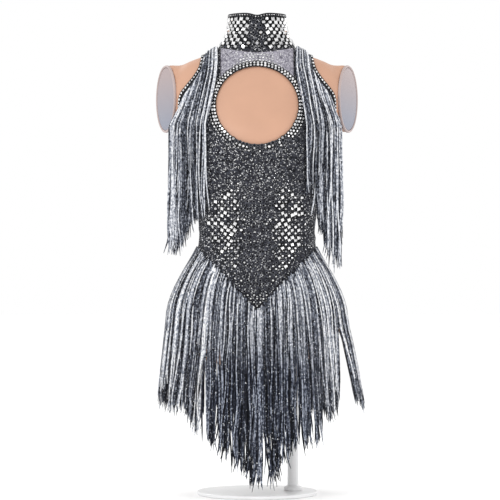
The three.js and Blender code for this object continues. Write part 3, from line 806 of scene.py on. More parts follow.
stand_base = lathe("base_disc", [
    (0, 0), (BASE["radius"] - 0.0015, 0), (BASE["radius"], 0.0015),
    *rounded(BASE["radius"] - 0.002, BASE["thick"] - 0.002, 0.002, 0),
    (0.05, BASE["thick"]), (0, BASE["thick"]),
], 160)
foot = BASE["thick"] + SEAM
stand_pole = lathe("pole_tube", [
    (0, foot), (0.018, foot), *rounded(0.0165, foot + 0.006, 0.0015, 0), (0.0135, foot + 0.0085),
    (POLE["radius"], foot + 0.0115), (POLE["radius"], SOCKET["z"] - SEAM), (0, SOCKET["z"] - SEAM),
], 64, (POLE["x"], POLE["y"]))
stand_socket = lathe("socket_collar", [
    (0, SOCKET["z"]), (0.0185, SOCKET["z"]), (SOCKET["radius"], SOCKET["z"] + 0.0015),
    (SOCKET["radius"], SOCKET["top"]), (0, SOCKET["top"]),
], 64, (POLE["x"], POLE["y"]))
clearance = body_solid("clearance", SEAM, NECK_Z, with_creases=False)
cut(stand_socket, clearance)
drop(clearance)

# --- trees that repeat things ---


def new_tree(name, **sockets):
    """A geometry tree with named inputs: the tree, its inputs and its output node."""
    tree = bpy.data.node_groups.new(name, "GeometryNodeTree")
    rows = [("Geometry", "Geometry", "INPUT"), *[(*pair, "INPUT") for pair in sockets.items()]]
    for label, kind, way in [*rows, ("Geometry", "Geometry", "OUTPUT")]:
        label = label.replace("_", " ")
        tree.interface.new_socket(label, in_out=way, socket_type=f"NodeSocket{kind}")
    return tree, node(tree, "NodeGroupInput").outputs, node(tree, "NodeGroupOutput")


def named(tree, label, kind="FLOAT"):
    settings = {"data_type": kind}
    return node(tree, "GeometryNodeInputNamedAttribute", settings, Name=label).outputs["Attribute"]


def coated(tree, geometry, finish):
    """What geometry looks like made real, in a finish."""
    real = node(tree, "GeometryNodeRealizeInstances", Geometry=geometry.outputs[0]).outputs[0]
    return node(tree, "GeometryNodeSetMaterial", Geometry=real, Material=finish).outputs[0]


def grow(obj, tree, **values):
    """Runs a tree on obj and keeps the result as its mesh."""
    change = obj.modifiers.new(tree.name, "NODES")
    change.node_group = tree
    for item in tree.interface.items_tree:
        if item.in_out == "INPUT" and item.name.replace(" ", "_") in values:
            change[item.identifier] = values[item.name.replace(" ", "_")]
    apply_modifiers(obj)
    finish_of = np.empty(len(obj.data.polygons), dtype=np.int32)
    obj.data.polygons.foreach_get("material_index", finish_of)
    if obj.data.materials and obj.data.materials[0] is None:
        obj.data.materials.pop(index=0)
        obj.data.polygons.foreach_set("material_index", finish_of - 1)
    return obj


def stone_tree():
    """Sets a stone and its seat on every point, facing out of the cloth."""
    tree, given, result = new_tree(
        "set stones", Stone="Object", Seat="Object", Stone_Finish="Material",
        Seat_Finish="Material", Seat_Size="Float",
    )
    facing = named(tree, "facing", "FLOAT_VECTOR")
    outwards = node(tree, "FunctionNodeAlignRotationToVector", {"axis": "Z"}, Vector=facing)
    spin = node(
        tree, "FunctionNodeAxisAngleToRotation", Axis=(0, 0, 1), Angle=named(tree, "spin")
    )
    turned = node(
        tree, "FunctionNodeRotateRotation", {"rotation_space": "LOCAL"},
        Rotation=outwards.outputs[0], Rotate_By=spin.outputs[0],
    ).outputs[0]
    size = named(tree, "size")
    bigger = maths(tree, "MULTIPLY", i0=size, i1=given["Seat Size"])
    join = node(tree, "GeometryNodeJoinGeometry")
    for what, scale in (("Stone", size), ("Seat", bigger)):
        shape = node(tree, "GeometryNodeObjectInfo", Object=given[what]).outputs["Geometry"]
        placed = node(
            tree, "GeometryNodeInstanceOnPoints", Points=given["Geometry"], Instance=shape,
            Rotation=turned, Scale=scale,
        )
        feed(tree, join, Geometry=coated(tree, placed, given[f"{what} Finish"]))
    feed(tree, result, Geometry=join.outputs[0])
    return tree


def yarn_tree():
    """Gives every polyline the thickness of its points."""
    tree, given, result = new_tree("spin yarn", Sides="Int", Finish="Material")
    curves = node(tree, "GeometryNodeMeshToCurve", Mesh=given["Geometry"]).outputs[0]
    ring = node(
        tree, "GeometryNodeCurvePrimitiveCircle", Resolution=given["Sides"], Radius=1.0
    ).outputs[0]
    tube = node(
        tree, "GeometryNodeCurveToMesh", Curve=curves, Profile_Curve=ring, Fill_Caps=True,
        Scale=named(tree, "thick"),
    )
    feed(tree, result, Geometry=coated(tree, tube, given["Finish"]))
    return tree


STONES, YARNS = stone_tree(), yarn_tree()

# --- stones ---


def gem(name, sides, flat, height, girdle=0.15):
    """A flat-backed stone of radius 1: a girdle, a crown of facets and a flat top."""
    half_step = math.pi / sides if sides > 4 else 0
    rings = []
    for radius, level, shift in ((0.94, 0, 0), (1, girdle, 0), (flat, height, half_step)):
        x, y = np.cos(circle(sides) + shift), np.sin(circle(sides) + shift)
        rings.append(np.stack([radius * x, radius * y, np.full(sides, level)], axis=1))
    faces = [tuple(range(sides))[::-1], tuple(range(2 * sides, 3 * sides))]
    for i in range(sides):
        j = (i + 1) % sides
        faces.append((i, j, j + sides, i + sides))
        if half_step:
            faces += [
                (i + sides, j + sides, i + 2 * sides),
                (j + sides, j + 2 * sides, i + 2 * sides),
            ]
        else:
            faces.append((i + sides, j + sides, j + 2 * sides, i + 2 * sides))
    return add_object(name, mesh_of(name, np.vstack(rings), faces))


ROUND = gem("round stone", 8, 0.55, 0.62)
SQUARE = gem("square stone", 4, 0.52, 0.55)
SEAT = gem("stone seat", 8, 0.96, 0.14, 0.1)


def turn_at(x, z, column):
    """The turn of the point of the front or back that is seen at x and z."""
    share = np.clip(np.abs(x) / at_height("half", z), 0, 1)
    turn = np.degrees(np.arcsin(share ** (at_height("square", z) / 2))) * np.sign(x)
    return turn if column == "front" else 180 - turn


def seen_at(x, z, column="front"):
    """The turn and the height of a stone that is seen at x and z."""
    return float(turn_at(x, z, column)), z


def on_cloth(turn, z, lift):
    station = np.asarray(z, float) - HIP_Z
    return skin(station, turn, lift + creased(station, turn)), body_normal(station, turn)


# The darkest kind is a painted dark reflection in a clear stone.
STONE_KINDS = {
    "round": (ROUND, SILVER, SETTING, 1.42), "square": (SQUARE, SILVER, SETTING, 1.15),
    "smoke": (ROUND, DARK_REFLECTION, FOIL, 1.3), "bare": (ROUND, SILVER, FOIL, 1.1),
}


def put(mesh, label, values, kind="FLOAT", field="value"):
    """Writes an attribute of the points."""
    mesh.attributes.new(label, kind, "POINT").data.foreach_set(field, values)


class Stones:
    """Collects stones of one place and sets them as one piece for each kind."""

    def __init__(self):
        self.rows = {kind: [] for kind in STONE_KINDS}

    def add(self, kind, turn, z, size, lift=OUT, spin=0.0, tint=1.0):
        self.rows[kind].append((turn, z, size, lift, spin, tint))

    def draw(self, source, kind, turn, z, size, tint, lift=OUT):
        """Adds a stone with its size in millimetres and its painted reflection, how bright it is,
        drawn from two ranges.
        """
        self.add(kind, turn, z, source.uniform(*size) * MM, lift, 0.0, source.uniform(*tint))

    def build(self, name):
        made = []
        for kind, (shape, finish, seat, seat_size) in STONE_KINDS.items():
            if not self.rows[kind]:
                continue
            turn, z, size, lift, spin, tint = np.array(self.rows[kind]).T
            points, facing = on_cloth(turn, z, lift + 0.05 * MM)
            piece = add_object(f"{name}_{kind}_stones", mesh_of(name, points, []))
            put(piece.data, "facing", facing.ravel(), "FLOAT_VECTOR", "vector")
            for label, values in (("size", size), ("spin", spin), ("tint", tint)):
                put(piece.data, label, values)
            made.append(grow(
                piece, STONES, Stone=shape, Seat=SEAT, Stone_Finish=finish, Seat_Finish=seat,
                Seat_Size=seat_size,
            ))
        return made


# Two streams of chance, so that what the second adds leaves the first one's draws alone.
rng = np.random.default_rng(BOLD_SEED)
edge_rng = np.random.default_rng(BOLD_SEED + 1)

# Collar: a diagonal lattice all round, of square and small round stones, with stones in the middle
# painted with a dark reflection.
COLLAR_GRID = {
    "columns": 54, "rows": 11, "row": 7 * MM, "low": 0.8835, "high": 0.9475, "edge": 3.5 * MM,
    "square": 5.7 * MM, "round": 4.0 * MM, "slit": 176, "smoke": 19, "beside": 4.4,
}
collar_stones = Stones()
for i in range(COLLAR_GRID["columns"]):
    turn = (i * 360 / COLLAR_GRID["columns"] + 180) % 360 - 180
    if abs(turn) > COLLAR_GRID["slit"]:
        continue
    for j in range(COLLAR_GRID["rows"]):
        z = COLLAR_GRID["low"] + j * COLLAR_GRID["row"]
        lowest = collar_seam_z(float(body_point(z - HIP_Z, turn)[0])) + COLLAR_GRID["edge"]
        if (i + j) % 2 or z > COLLAR_GRID["high"] or z < lowest:
            continue
        # how bright the stone is: a painted reflection
        tint = rng.uniform(0.35, 1) ** 0.6
        # stones near the middle take the painted dark reflection
        if abs(turn) < COLLAR_GRID["smoke"] and (rng.random() < 0.8 or z > 0.94):
            collar_stones.draw(rng, "smoke", turn, z, (2.1, 2.7), (0, 0.6))
            if edge_rng.random() < 0.6:  # a small clear stone beside it
                beside = turn + edge_rng.choice((-COLLAR_GRID["beside"], COLLAR_GRID["beside"]))
                collar_stones.draw(edge_rng, "round", beside, z + 0.6 * MM, (1.2, 1.9), (0.5, 1))
        elif (i + j) // 2 % 3 == 0 or (i - j) // 2 % 3 == 0:
            spin = rng.uniform(0, 0.6)
            collar_stones.add("round", turn, z, COLLAR_GRID["round"], spin=spin, tint=tint)
        else:
            collar_stones.add("square", turn, z, COLLAR_GRID["square"], tint=tint)

COLLAR_RADIUS = 0.054
for turn in np.linspace(-175, 175, 64):  # a row of small ones on the tape at its top
    across = COLLAR_RADIUS * math.sin(math.radians(turn))
    top = COLLAR_Z - 3.6 * MM - collar_dip_at(across) * (abs(turn) < 90)
    collar_stones.draw(edge_rng, "round", turn, top, (1.1, 1.6), (0.2, 1), ON_TAPE)

# Bodice: two bright lobes with a stripe of stones painted with a dark reflection between them, down
# to a point.
LATTICE = {"across": 6.2 * MM, "row": 7.1 * MM, "rows": 38, "columns": 20, "uneven": 0.3 * MM}
WRAP = 0.93  # share of the body's half width that the lattice goes to
NOTCH = {"from": 0.598, "half": 0.03, "top": 0.632}  # between the lobes, at the top
STRIPE = (0.014, 0.052)  # the stripe of painted dark reflections thins out between these distances from the middle
STRIPE_END = 0.402
LATTICE_EDGE = np.array([  # outer edge of the lattice: height, and how far from the middle
    (0.378, 0.004), (0.400, 0.020), (0.430, 0.044), (0.462, 0.068), (0.495, 0.088),
    (0.530, 0.098), (0.566, 0.102), (0.590, 0.088), (0.610, 0.068), (0.632, 0.046),
])
LOBE = {"x": 0.062, "half": 0.026, "z": 0.532, "rise": 0.05}  # where the square stones are
bodice_stones = Stones()
for j in range(LATTICE["rows"]):
    z = LATTICE_EDGE[0, 0] + j * LATTICE["row"]
    out = np.interp(z, *LATTICE_EDGE.T, right=0)
    for i in range(-LATTICE["columns"], LATTICE["columns"] + 1):
        x = i * LATTICE["across"]
        if (i + j) % 2 or abs(x) > min(out, WRAP * float(at_height("half", z))):
            continue
        if z > NOTCH["from"] and abs(x) < NOTCH["half"] - (NOTCH["top"] - z):
            continue
        turn = float(turn_at(x, z, "front"))
        clear = smoothstep(abs(x), *STRIPE)
        x, z = x + rng.normal(0, LATTICE["uneven"]), z + rng.normal(0, LATTICE["uneven"])
        if z < STRIPE_END:
            clear = 1
        lobe = math.exp(
            -(((abs(x) - LOBE["x"]) / LOBE["half"]) ** 2) - ((z - LOBE["z"]) / LOBE["rise"]) ** 2
        )
        # the painted dark reflection, more of it near the middle
        if rng.random() > clear:
            bodice_stones.draw(rng, "smoke", turn, z, (1.5, 2.5), (0, 0.6))
            if edge_rng.random() < 0.3:  # a small clear stone beside it
                beside = x + edge_rng.choice((-3.1, 3.1)) * MM
                bodice_stones.draw(edge_rng, "round", *seen_at(beside, z), (0.9, 1.5), (0.4, 1))
        elif rng.random() < 0.9 * lobe:
            bodice_stones.draw(rng, "square", turn, z, (4.3, 5.6), (0.6, 1))
        else:
            size = rng.uniform(1.9, 3.3) * (1 - 0.3 * smoothstep(z, 0.585, 0.63))
            size = size * (1 - 0.25 * smoothstep(out - abs(x), 0.02, 0))
            tint = rng.uniform(0.05, 1) ** 0.6
            low = 1 - smoothstep(z, 0.43, 0.46)  # the point of the V is set evenly
            size, tint = max(size, 2.5 * low), max(tint, 0.6 * low)
            bodice_stones.add("round", turn, z, size * MM, tint=tint, spin=rng.uniform(0, 0.7))

# Small stones scattered between the keyhole and the lattice, denser towards the keyhole.
SCATTER = {"count": 420, "half": 0.095, "low": 0.60, "high": 0.70, "clear": 0.012}
for _ in range(SCATTER["count"]):
    x = rng.uniform(-SCATTER["half"], SCATTER["half"])
    z = rng.uniform(SCATTER["low"], SCATTER["high"])
    beyond = math.hypot(
        x / (KEYHOLE["half"] + SCATTER["clear"]),
        (z - KEYHOLE["z"]) / (KEYHOLE["rise"] + SCATTER["clear"]),
    )
    if beyond < 1 or rng.random() > 0.3 + 0.7 * (z - SCATTER["low"]) / 0.1:
        continue
    bodice_stones.draw(rng, "round", *seen_at(x, z), (0.7, 1.3), (0.2, 1))

# Keyhole: two rows on its binding, one beside it, and three short ones on the yoke above.
keyhole_stones = Stones()
for offset, lift, size in ((2.5, ON_TAPE, 2.8), (7.2, ON_TAPE, 2.8), (13.0, OUT, 2.4)):
    half, rise = KEYHOLE["half"] + offset * MM, KEYHOLE["rise"] + offset * MM
    count = int(2 * math.pi * (half + rise) / 2 / (7.0 * MM))
    for angle in circle(count):
        x, z = half * math.cos(angle), KEYHOLE["z"] + rise * math.sin(angle)
        if lift == OUT and z > KEYHOLE["z"] + 0.05:
            continue
        # low on the keyhole, half the stones take the painted dark reflection
        dark = z < KEYHOLE["z"] - 0.066 and rng.random() < 0.5
        keyhole_stones.add(
            "smoke" if dark else "round", *seen_at(x, z), size * rng.uniform(0.75, 1.15) * MM,
            lift, rng.uniform(0, 0.7), rng.uniform(0.4, 1),
        )
for shift, rise, reach in ((0, 12.5, 46), (3.2, 18.5, 36), (0, 24.5, 24)):
    for x in np.arange(-reach + shift, reach, 6.4) * MM:
        share = x / (KEYHOLE["half"] + rise * MM)
        z = KEYHOLE["z"] + (KEYHOLE["rise"] + rise * MM) * math.sqrt(1 - share**2)
        if z < collar_seam_z(x) - 4 * MM:
            keyhole_stones.draw(rng, "bare", *seen_at(x, z), (1.8, 2.6), (0.5, 1))

# Armholes: one row along each binding, in front and behind, and a second where it widens.
armhole_stones = Stones()
first_row = spline([(x - 4 * MM, z - 3 * MM) for x, z in ARMHOLE[1:-1]], 28)
second_row = first_row[first_row[:, 1] < 0.748] - np.array([3.0 * MM, 0])
for sign in (-1, 1):
    for column in ("front", "back"):
        for row, source, size, tint in (
            (first_row, rng, (2.1, 2.6), (0.5, 1)), (second_row, edge_rng, (1.7, 2.2), (0.3, 1)),
        ):
            for x, z in row:
                at = seen_at(sign * x, z, column)
                armhole_stones.draw(source, "round", *at, size, tint, ON_TAPE)
    for turn in np.linspace(81, 99, 5):  # under the arm
        tint = rng.uniform(0.5, 1)
        armhole_stones.add("round", sign * turn, 0.7065, 2.3 * MM, ON_TAPE, tint=tint)

stone_pieces = {
    place: stones.build(place) for place, stones in (
        ("collar", collar_stones), ("bodice", bodice_stones),
        ("keyhole", keyhole_stones), ("armhole", armhole_stones),
    )
}
drop(ROUND, SQUARE, SEAT)

# --- fringe ---

BAND = {"tall": 8 * MM, "thick": 2 * MM}  # the tape that the fringe hangs from
# Where the fringe stands off the form on its way over the hip: height, and how far.
HIP_LIFT = np.array([(0.345, 0.0125), (0.395, 0.011), (0.440, 0.0090), (0.490, 0.0073)])
# The cut edge in front, as x and z, from the wearer's right to left.
HIP_TIPS = np.array([
    (-0.200, 0.226), (-0.188, 0.214), (-0.169, 0.184), (-0.137, 0.152), (-0.116, 0.138),
    (-0.094, 0.124), (-0.086, 0.106), (-0.076, 0.092), (-0.053, 0.084), (-0.022, 0.070),
    (-0.006, 0.034), (0.012, 0.022), (0.028, 0.044), (0.040, 0.074), (0.056, 0.082),
    (0.079, 0.106), (0.113, 0.122), (0.130, 0.152), (0.160, 0.190), (0.182, 0.206), (0.215, 0.210),
])
BACK_TIPS = {"long": 0.319, "rise": 0.024, "from": 0.13, "to": 0.185}  # shorter at the sides
# Where the hip strands part: x and z of both ends, how wide, the share of it to +X, and how far
# the lock on that side swings out.
PARTINGS = table(
    "x0 z0 x1 z1 wide outwards drift",
    (-0.106, 0.300, -0.104, 0.200, 0.009, 0.5, 0), (-0.152, 0.235, -0.155, 0.060, 0.014, 0.5, 0),
    (0.163, 0.370, 0.174, 0.150, 0.024, 0.7, 0.012),
)
CROWD = 0.028  # how far beside a parting the strands still give way
# Heights between which the strands darken, and where the middle goes over to the sides.
DARKENING = {"from": 0.42, "to": 0.15, "middle": (0.085, 0.165)}
BRIGHT_LOCK = {"x": -0.107, "half": 0.0045, "tint": 0.93}  # bright and not darkened, beside the first parting
# The shoulder fringe's cut edge, as x and z, from the innermost strand out.
SHOULDER_TIPS = {
    ("front", -1): [
        (0.101, 0.562), (0.115, 0.554), (0.132, 0.550), (0.142, 0.512), (0.156, 0.488),
        (0.180, 0.482),
    ],
    ("front", 1): [
        (0.099, 0.608), (0.112, 0.600), (0.122, 0.560), (0.131, 0.520), (0.142, 0.480),
        (0.150, 0.458), (0.180, 0.455),
    ],
    ("back", -1): [(0.101, 0.572), (0.177, 0.476)],
    ("back", 1): [(0.101, 0.572), (0.177, 0.476)],
}
# Where its strands hang, innermost and outermost on each side, the share of bright ones, which are
# painted highlights and more of them on the left where the key light comes from, and how far in
# front of and behind the side seam they hang at least.
SHOULDER = {
    "hang_in": 0.101, "hang_out": {-1: 0.173, 1: 0.167}, "bright": {-1: 0.58, 1: 0.42},
    "front": 0.066, "back": 0.076,
}
# Where its yarns come out, just above the tape.
ROOT_LINE = spline([
    (0.075, 0.885), (0.084, 0.8805), (0.093, 0.875), (0.101, 0.865), (0.1035, 0.849),
    (0.111, 0.832), (0.121, 0.815), (0.131, 0.801), (0.139, 0.789),
], 200)


def yarns(name, paths, thick, tint, down, finish):
    """One piece of yarns from their paths, an array of yarn, point and x, y, z."""
    count, steps = paths.shape[:2]
    at = np.arange(count * steps).reshape(count, steps)
    edges = np.stack([at[:, :-1].ravel(), at[:, 1:].ravel()], axis=1)
    mesh = bpy.data.meshes.new(name)
    mesh.from_pydata(paths.reshape(-1, 3).tolist(), edges.tolist(), [])
    tint = np.broadcast_to(tint[:, None], thick.shape)
    for label, values in (("thick", thick), ("tint", tint), ("down", down)):
        put(mesh, label, np.ascontiguousarray(values).ravel())
    return grow(add_object(name, mesh), YARNS, Sides=5, Finish=finish)


def band(name, top, low, out):
    """A closed tape from its top and low edges and how it faces."""
    out = out * BAND["thick"]
    corners = np.stack([low, low + out, top + out, top], axis=1)
    count = len(corners)
    faces = [(0, 1, 2, 3), tuple(4 * (count - 1) + k for k in (0, 3, 2, 1))]
    for a in range(0, 4 * (count - 1), 4):
        faces += [(a + k, a + 4 + k, a + 4 + (k + 1) % 4, a + (k + 1) % 4) for k in range(4)]
    return add_object(name, mesh_of(name, corners.reshape(-1, 3), faces))


def even_turns(start, end, shares):
    """Turns that part a stretch of the hip into even lengths."""
    samples = np.linspace(start, end, 361)
    steps = np.linalg.norm(np.diff(body_point(0, samples), axis=0), axis=1)
    run = np.concatenate([[0], np.cumsum(steps)])
    return np.interp(shares, run / run[-1], samples)


def hip_line_z(turn, dip, rounds=20):
    """Height of the seam of the hip fringe at a turn. Each round comes closer to it."""
    z = np.full(np.shape(turn), HIP_LINE["side"])
    for _ in range(rounds):
        share = np.clip(np.abs(body_point(z - HIP_Z, turn)[..., 0]) / HIP_LINE["half"], 0, 1)
        z = HIP_LINE["side"] - dip * (1 - share)
    return z


def hang_hip(z, turn, extra):
    """Where a strand is at height z: over the hip, then straight down and a little out."""
    lift = np.interp(z, *HIP_LIFT.T) + extra
    at = skin(np.maximum(z - HIP_Z, 0), turn, lift)
    fall = np.maximum(HIP_Z - z, 0) / HIP_Z
    at[..., 0] *= 1 + 0.2 * fall
    at[..., 1] *= 1 + 0.05 * fall
    at[..., 2] = np.where(z < HIP_Z, z, at[..., 2])
    return at


def parted(paths):
    """Opens the partings: a strand keeps to the side its tip is on, and others crowd up."""
    for gap in PARTINGS:
        x, z = paths[..., 0], paths[..., 2]
        share = np.clip((gap["z0"] - z) / (gap["z0"] - gap["z1"]), 0, 1)
        line = gap["x0"] + (gap["x1"] - gap["x0"]) * share
        side = np.where((x - line)[:, -1:] > 0, 1, -1)
        off = np.maximum((x - line) * side, 0)
        wide = gap["wide"] * np.where(side > 0, gap["outwards"], 1 - gap["outwards"])
        moved = line + side * (off + wide * smoothstep(share, 0, 1) * np.exp(-off / CROWD))
        moved += gap["drift"] * (side > 0) * share
        paths[..., 0] = x + (moved - x) * smoothstep(share, 0, 0.3)
    return paths


def darkened(paths):
    """How much darker the strands are: low down, and more in the middle than at the sides."""
    middle = 1 - smoothstep(np.abs(paths[..., 0]), *DARKENING["middle"])
    low = smoothstep(-paths[..., 2], -DARKENING["from"], -DARKENING["to"])
    return np.clip(low * (0.25 + 0.75 * middle) + 0.3 * middle, 0, 1)


def waver(s, count, size):
    """Sideways wander of each yarn, which grows towards its tip and ends in a small curl."""
    slow, quick = (
        np.sin(rng.uniform(*pace, count)[:, None] * s + rng.uniform(0, 6.3, count)[:, None])
        for pace in ((3, 6), (11, 17))
    )
    curl = rng.normal(0, 1.3, count)[:, None] * smoothstep(s, 0.86, 1) ** 2
    return size * (smoothstep(s, 0, 0.25) * (slow + 0.35 * quick) * (0.5 + s) + curl)


def in_locks(count, locks, stray):
    """Each yarn's share of the way along, and the lock that it hangs with."""
    share = (np.arange(count) + rng.uniform(0.1, 0.9, count)) / count
    lock = (share * locks + rng.normal(0, stray, count)).astype(int)
    return share, np.clip(lock, 0, locks - 1)


def tapered(count, fattest, s, from_s, like):
    """How thick each yarn is down its length: it thins out at its tip."""
    fat = rng.uniform(1.1, fattest, count)[:, None] * MM
    return fat * (1 - 0.7 * smoothstep(s, from_s, 1)) * np.ones_like(like)


def layer_painted_light(count, layer, layers, bright_share):
    """Painted light of a layer's yarns: painted shade on the ones underneath, and on top painted
    highlights on some among shaded ones.
    """
    bright = rng.random(count) < bright_share * (0.2 + 0.8 * layer / (layers - 1))
    return np.where(bright, rng.uniform(0.58, 0.95, count), rng.uniform(0.05, 0.42, count))


# Locks of the hip fringe: sway in degrees, how much higher or lower they end in millimetres, how
# far a yarn strays from its lock, and how far from the piece's ends the outer ones hang.
HIP_LOCK = {"sway": 2.6, "high": 14, "low": -16, "stray": 0.22, "edge": 1.5}
# Its yarns: spread and limits of the roots' height and spread of the tips' in millimetres, the
# share of shorter ones and by how much, the gap between layers and the share of bright ones, which
# are painted highlights.
HIP_YARN = {
    "root": 4.2, "root_low": -11, "root_high": 7, "tip": 8, "few": 0.06, "shorter": (10, 70),
    "layer": 2.2 * MM, "bright": 0.56, "fattest": 1.75, "radius": 0.12,
}
LEAST_TIP = 15 * MM  # no yarn ends lower


def hip_fringe(name, start, end, dip, layers, tip_of):
    made, steps, locks = [], 17, 36
    lock_turn = even_turns(start, end, (np.arange(locks) + 0.5) / locks)
    lock_sway = rng.uniform(-HIP_LOCK["sway"], HIP_LOCK["sway"], locks)
    # The outer locks close up with the next piece, and the ones beside them follow.
    lock_turn[[0, -1]] = start + HIP_LOCK["edge"], end - HIP_LOCK["edge"]
    lock_sway[[0, 1, -2, -1]] = -1.0, -1.0, 1.0, 1.0
    lock_tip = rng.uniform(HIP_LOCK["low"], HIP_LOCK["high"], locks) * MM
    s = np.linspace(0, 1, steps)[None, :]
    for layer, count in enumerate(layers):
        share, lock = in_locks(count, locks, HIP_LOCK["stray"])
        root_turn = even_turns(start, end, share)
        uneven = rng.normal(0, HIP_YARN["root"], count)
        uneven = np.clip(uneven, HIP_YARN["root_low"], HIP_YARN["root_high"]) * MM
        root = hip_line_z(root_turn, dip) + uneven
        tip_x = hang_hip(np.full(count, 0.12), root_turn, 0)[:, 0]
        tip = tip_of(tip_x, root) + lock_tip[lock] + rng.normal(0, HIP_YARN["tip"] * MM, count)
        few = rng.random(count) < HIP_YARN["few"]
        tip += few * rng.uniform(*HIP_YARN["shorter"], count) * MM
        tip = np.maximum(tip, LEAST_TIP)
        z = root[:, None] + (tip - root)[:, None] * s
        pull = rng.uniform(0.1, 0.9, count)[:, None]
        turn = root_turn[:, None] + (lock_turn[lock] - root_turn)[:, None] * pull * s**1.5
        wander = waver(s, count, 2.1 * MM) / HIP_YARN["radius"]
        turn += lock_sway[lock][:, None] * s**2 + np.degrees(wander)
        depth = (layer - (len(layers) - 1) / 2) * HIP_YARN["layer"] + rng.normal(0, 0.6 * MM, count)
        sunk = 3.2 * MM * (1 - smoothstep(s, 0, 0.07))  # the roots start inside the tape
        paths = parted(hang_hip(z, turn, depth[:, None] * smoothstep(s, 0, 0.12) - sunk))
        thick = tapered(count, HIP_YARN["fattest"], s, 0.92, z)
        # painted highlight or shade of each strand, and how much darker it is low down
        tint, down = layer_painted_light(count, layer, len(layers), HIP_YARN["bright"]), darkened(paths)
        if tip_of is front_tip:
            middle_x, above_x = paths[:, steps // 2, 0], paths[:, steps // 2 - 2, 0]
            glow = np.exp(-(((middle_x - BRIGHT_LOCK["x"]) / BRIGHT_LOCK["half"]) ** 4))
            glow = np.where(np.abs(middle_x - above_x) < 6 * MM, glow, 0)  # only steady ones
            tint, down = np.maximum(tint, BRIGHT_LOCK["tint"] * glow), down * (1 - glow[:, None])
        made.append((paths, thick, tint, down))
    return yarns(name, *[np.concatenate(parts) for parts in zip(*made)], SMOKE_YARN)


def hip_band(name, start, end, dip):
    turn = even_turns(start, end, np.linspace(0, 1, 121))
    station = hip_line_z(turn, dip) - HIP_Z
    top, low = skin(station, turn, ON_TAPE), skin(station - BAND["tall"], turn, ON_TAPE)
    return band(name, top, low, body_normal(station, turn))


def front_tip(x, _):
    return np.interp(x, *HIP_TIPS.T)


def back_tip(x, root):
    rise = smoothstep(np.abs(x), BACK_TIPS["from"], BACK_TIPS["to"])
    return root - BACK_TIPS["long"] + BACK_TIPS["rise"] * rise


hip_front, hip_back = (
    hip_fringe(f"hip_fringe_{column}_yarns", start, start + 178, HIP_LINE[drop_by], layers, tip_of)
    for column, start, drop_by, layers, tip_of in (
        ("front", -89, "front_drop", (300, 220, 180), front_tip),
        ("back", 91, "back_drop", (270, 200, 160), back_tip),
    )
)
hip_tapes = [
    hip_band("hip_fringe_front_tape", -89.4, 89.4, HIP_LINE["front_drop"]),
    hip_band("hip_fringe_back_tape", 90.6, 269.4, HIP_LINE["back_drop"]),
]

def shoulder_path(x_root, z_root, z, share, sign, column, extra):
    """Points at heights z of strands that slant out from the shoulder, then hang straight."""
    fan = np.clip((z_root - z) / (z_root - 0.735), 0, 1) ** (1.35 - 0.45 * np.clip(3 * share, 0, 1))
    hang = SHOULDER["hang_in"] + (SHOULDER["hang_out"][sign] - SHOULDER["hang_in"]) * share
    x = x_root + (hang - x_root) * fan
    least = SHOULDER[column] * (1 - smoothstep(z, 0.760, 0.815))
    depth = np.maximum(depth_at(x, z, column) + 9.5 * MM, least) + extra
    return np.stack([sign * x, FACING[column] * depth, z + 0 * x], axis=-1)


SHOULDER_LOCK = {"sway": 3.5, "tip": 9, "stray": 0.2}


def shoulder_fringe(name, sign, column, layers):
    made, steps, locks = [], 18, 13
    lock_sway = rng.uniform(-SHOULDER_LOCK["sway"], SHOULDER_LOCK["sway"], locks) * MM
    lock_tip = rng.uniform(-SHOULDER_LOCK["tip"], SHOULDER_LOCK["tip"], locks) * MM
    tips = np.array(SHOULDER_TIPS[column, sign])
    s = np.linspace(0, 1, steps)[None, :]
    for layer, count in enumerate(layers):
        share, lock = in_locks(count, locks, SHOULDER_LOCK["stray"])
        x_root, z_root = ROOT_LINE[np.clip((share**1.3 * 199).astype(int), 0, 199)].T
        hang = SHOULDER["hang_in"] + (SHOULDER["hang_out"][sign] - SHOULDER["hang_in"]) * share
        tip = np.interp(hang, *tips.T) + lock_tip[lock] + rng.normal(0, 4 * MM, count)
        tip += (rng.random(count) < 0.10) * rng.uniform(-14, 60, count) * MM
        z = z_root[:, None] + (tip - z_root)[:, None] * s**1.15
        wander = ((lock + 0.5) / locks - share) * rng.uniform(0.2, 0.7, count)
        inside = smoothstep(share * (1 - share), 0, 0.1)[:, None]
        crossing = edge_rng.normal(0, 0.045, count)[:, None] * s * inside
        extra = layer * 2.4 * MM + rng.normal(0, 0.6 * MM, count)[:, None]
        along = share[:, None] + wander[:, None] * s**1.5 + crossing
        extra = extra * smoothstep(s, 0, 0.2)
        paths = shoulder_path(x_root[:, None], z_root[:, None], z, along, sign, column, extra)
        paths[..., 0] += lock_sway[lock][:, None] * s**2 + waver(s, count, 2.6 * MM)
        lift = 7.5 * MM + layer * 1.4 * MM + 0 * z_root
        over = skin(z_root - HIP_Z, turn_at(sign * x_root, z_root, column), lift)
        paths += (over - paths[:, 0])[:, None, :] * (1 - smoothstep(s, 0, 0.16))[..., None]
        thick = tapered(count, 1.7, s, 0.94, z)
        # painted highlight or shade of each strand
        tint = layer_painted_light(count, layer, len(layers), SHOULDER["bright"][sign])
        made.append((paths, thick, tint, np.broadcast_to(0.2 + 0.4 * s, z.shape)))
    return yarns(name, *[np.concatenate(parts) for parts in zip(*made)], SILVER_YARN)


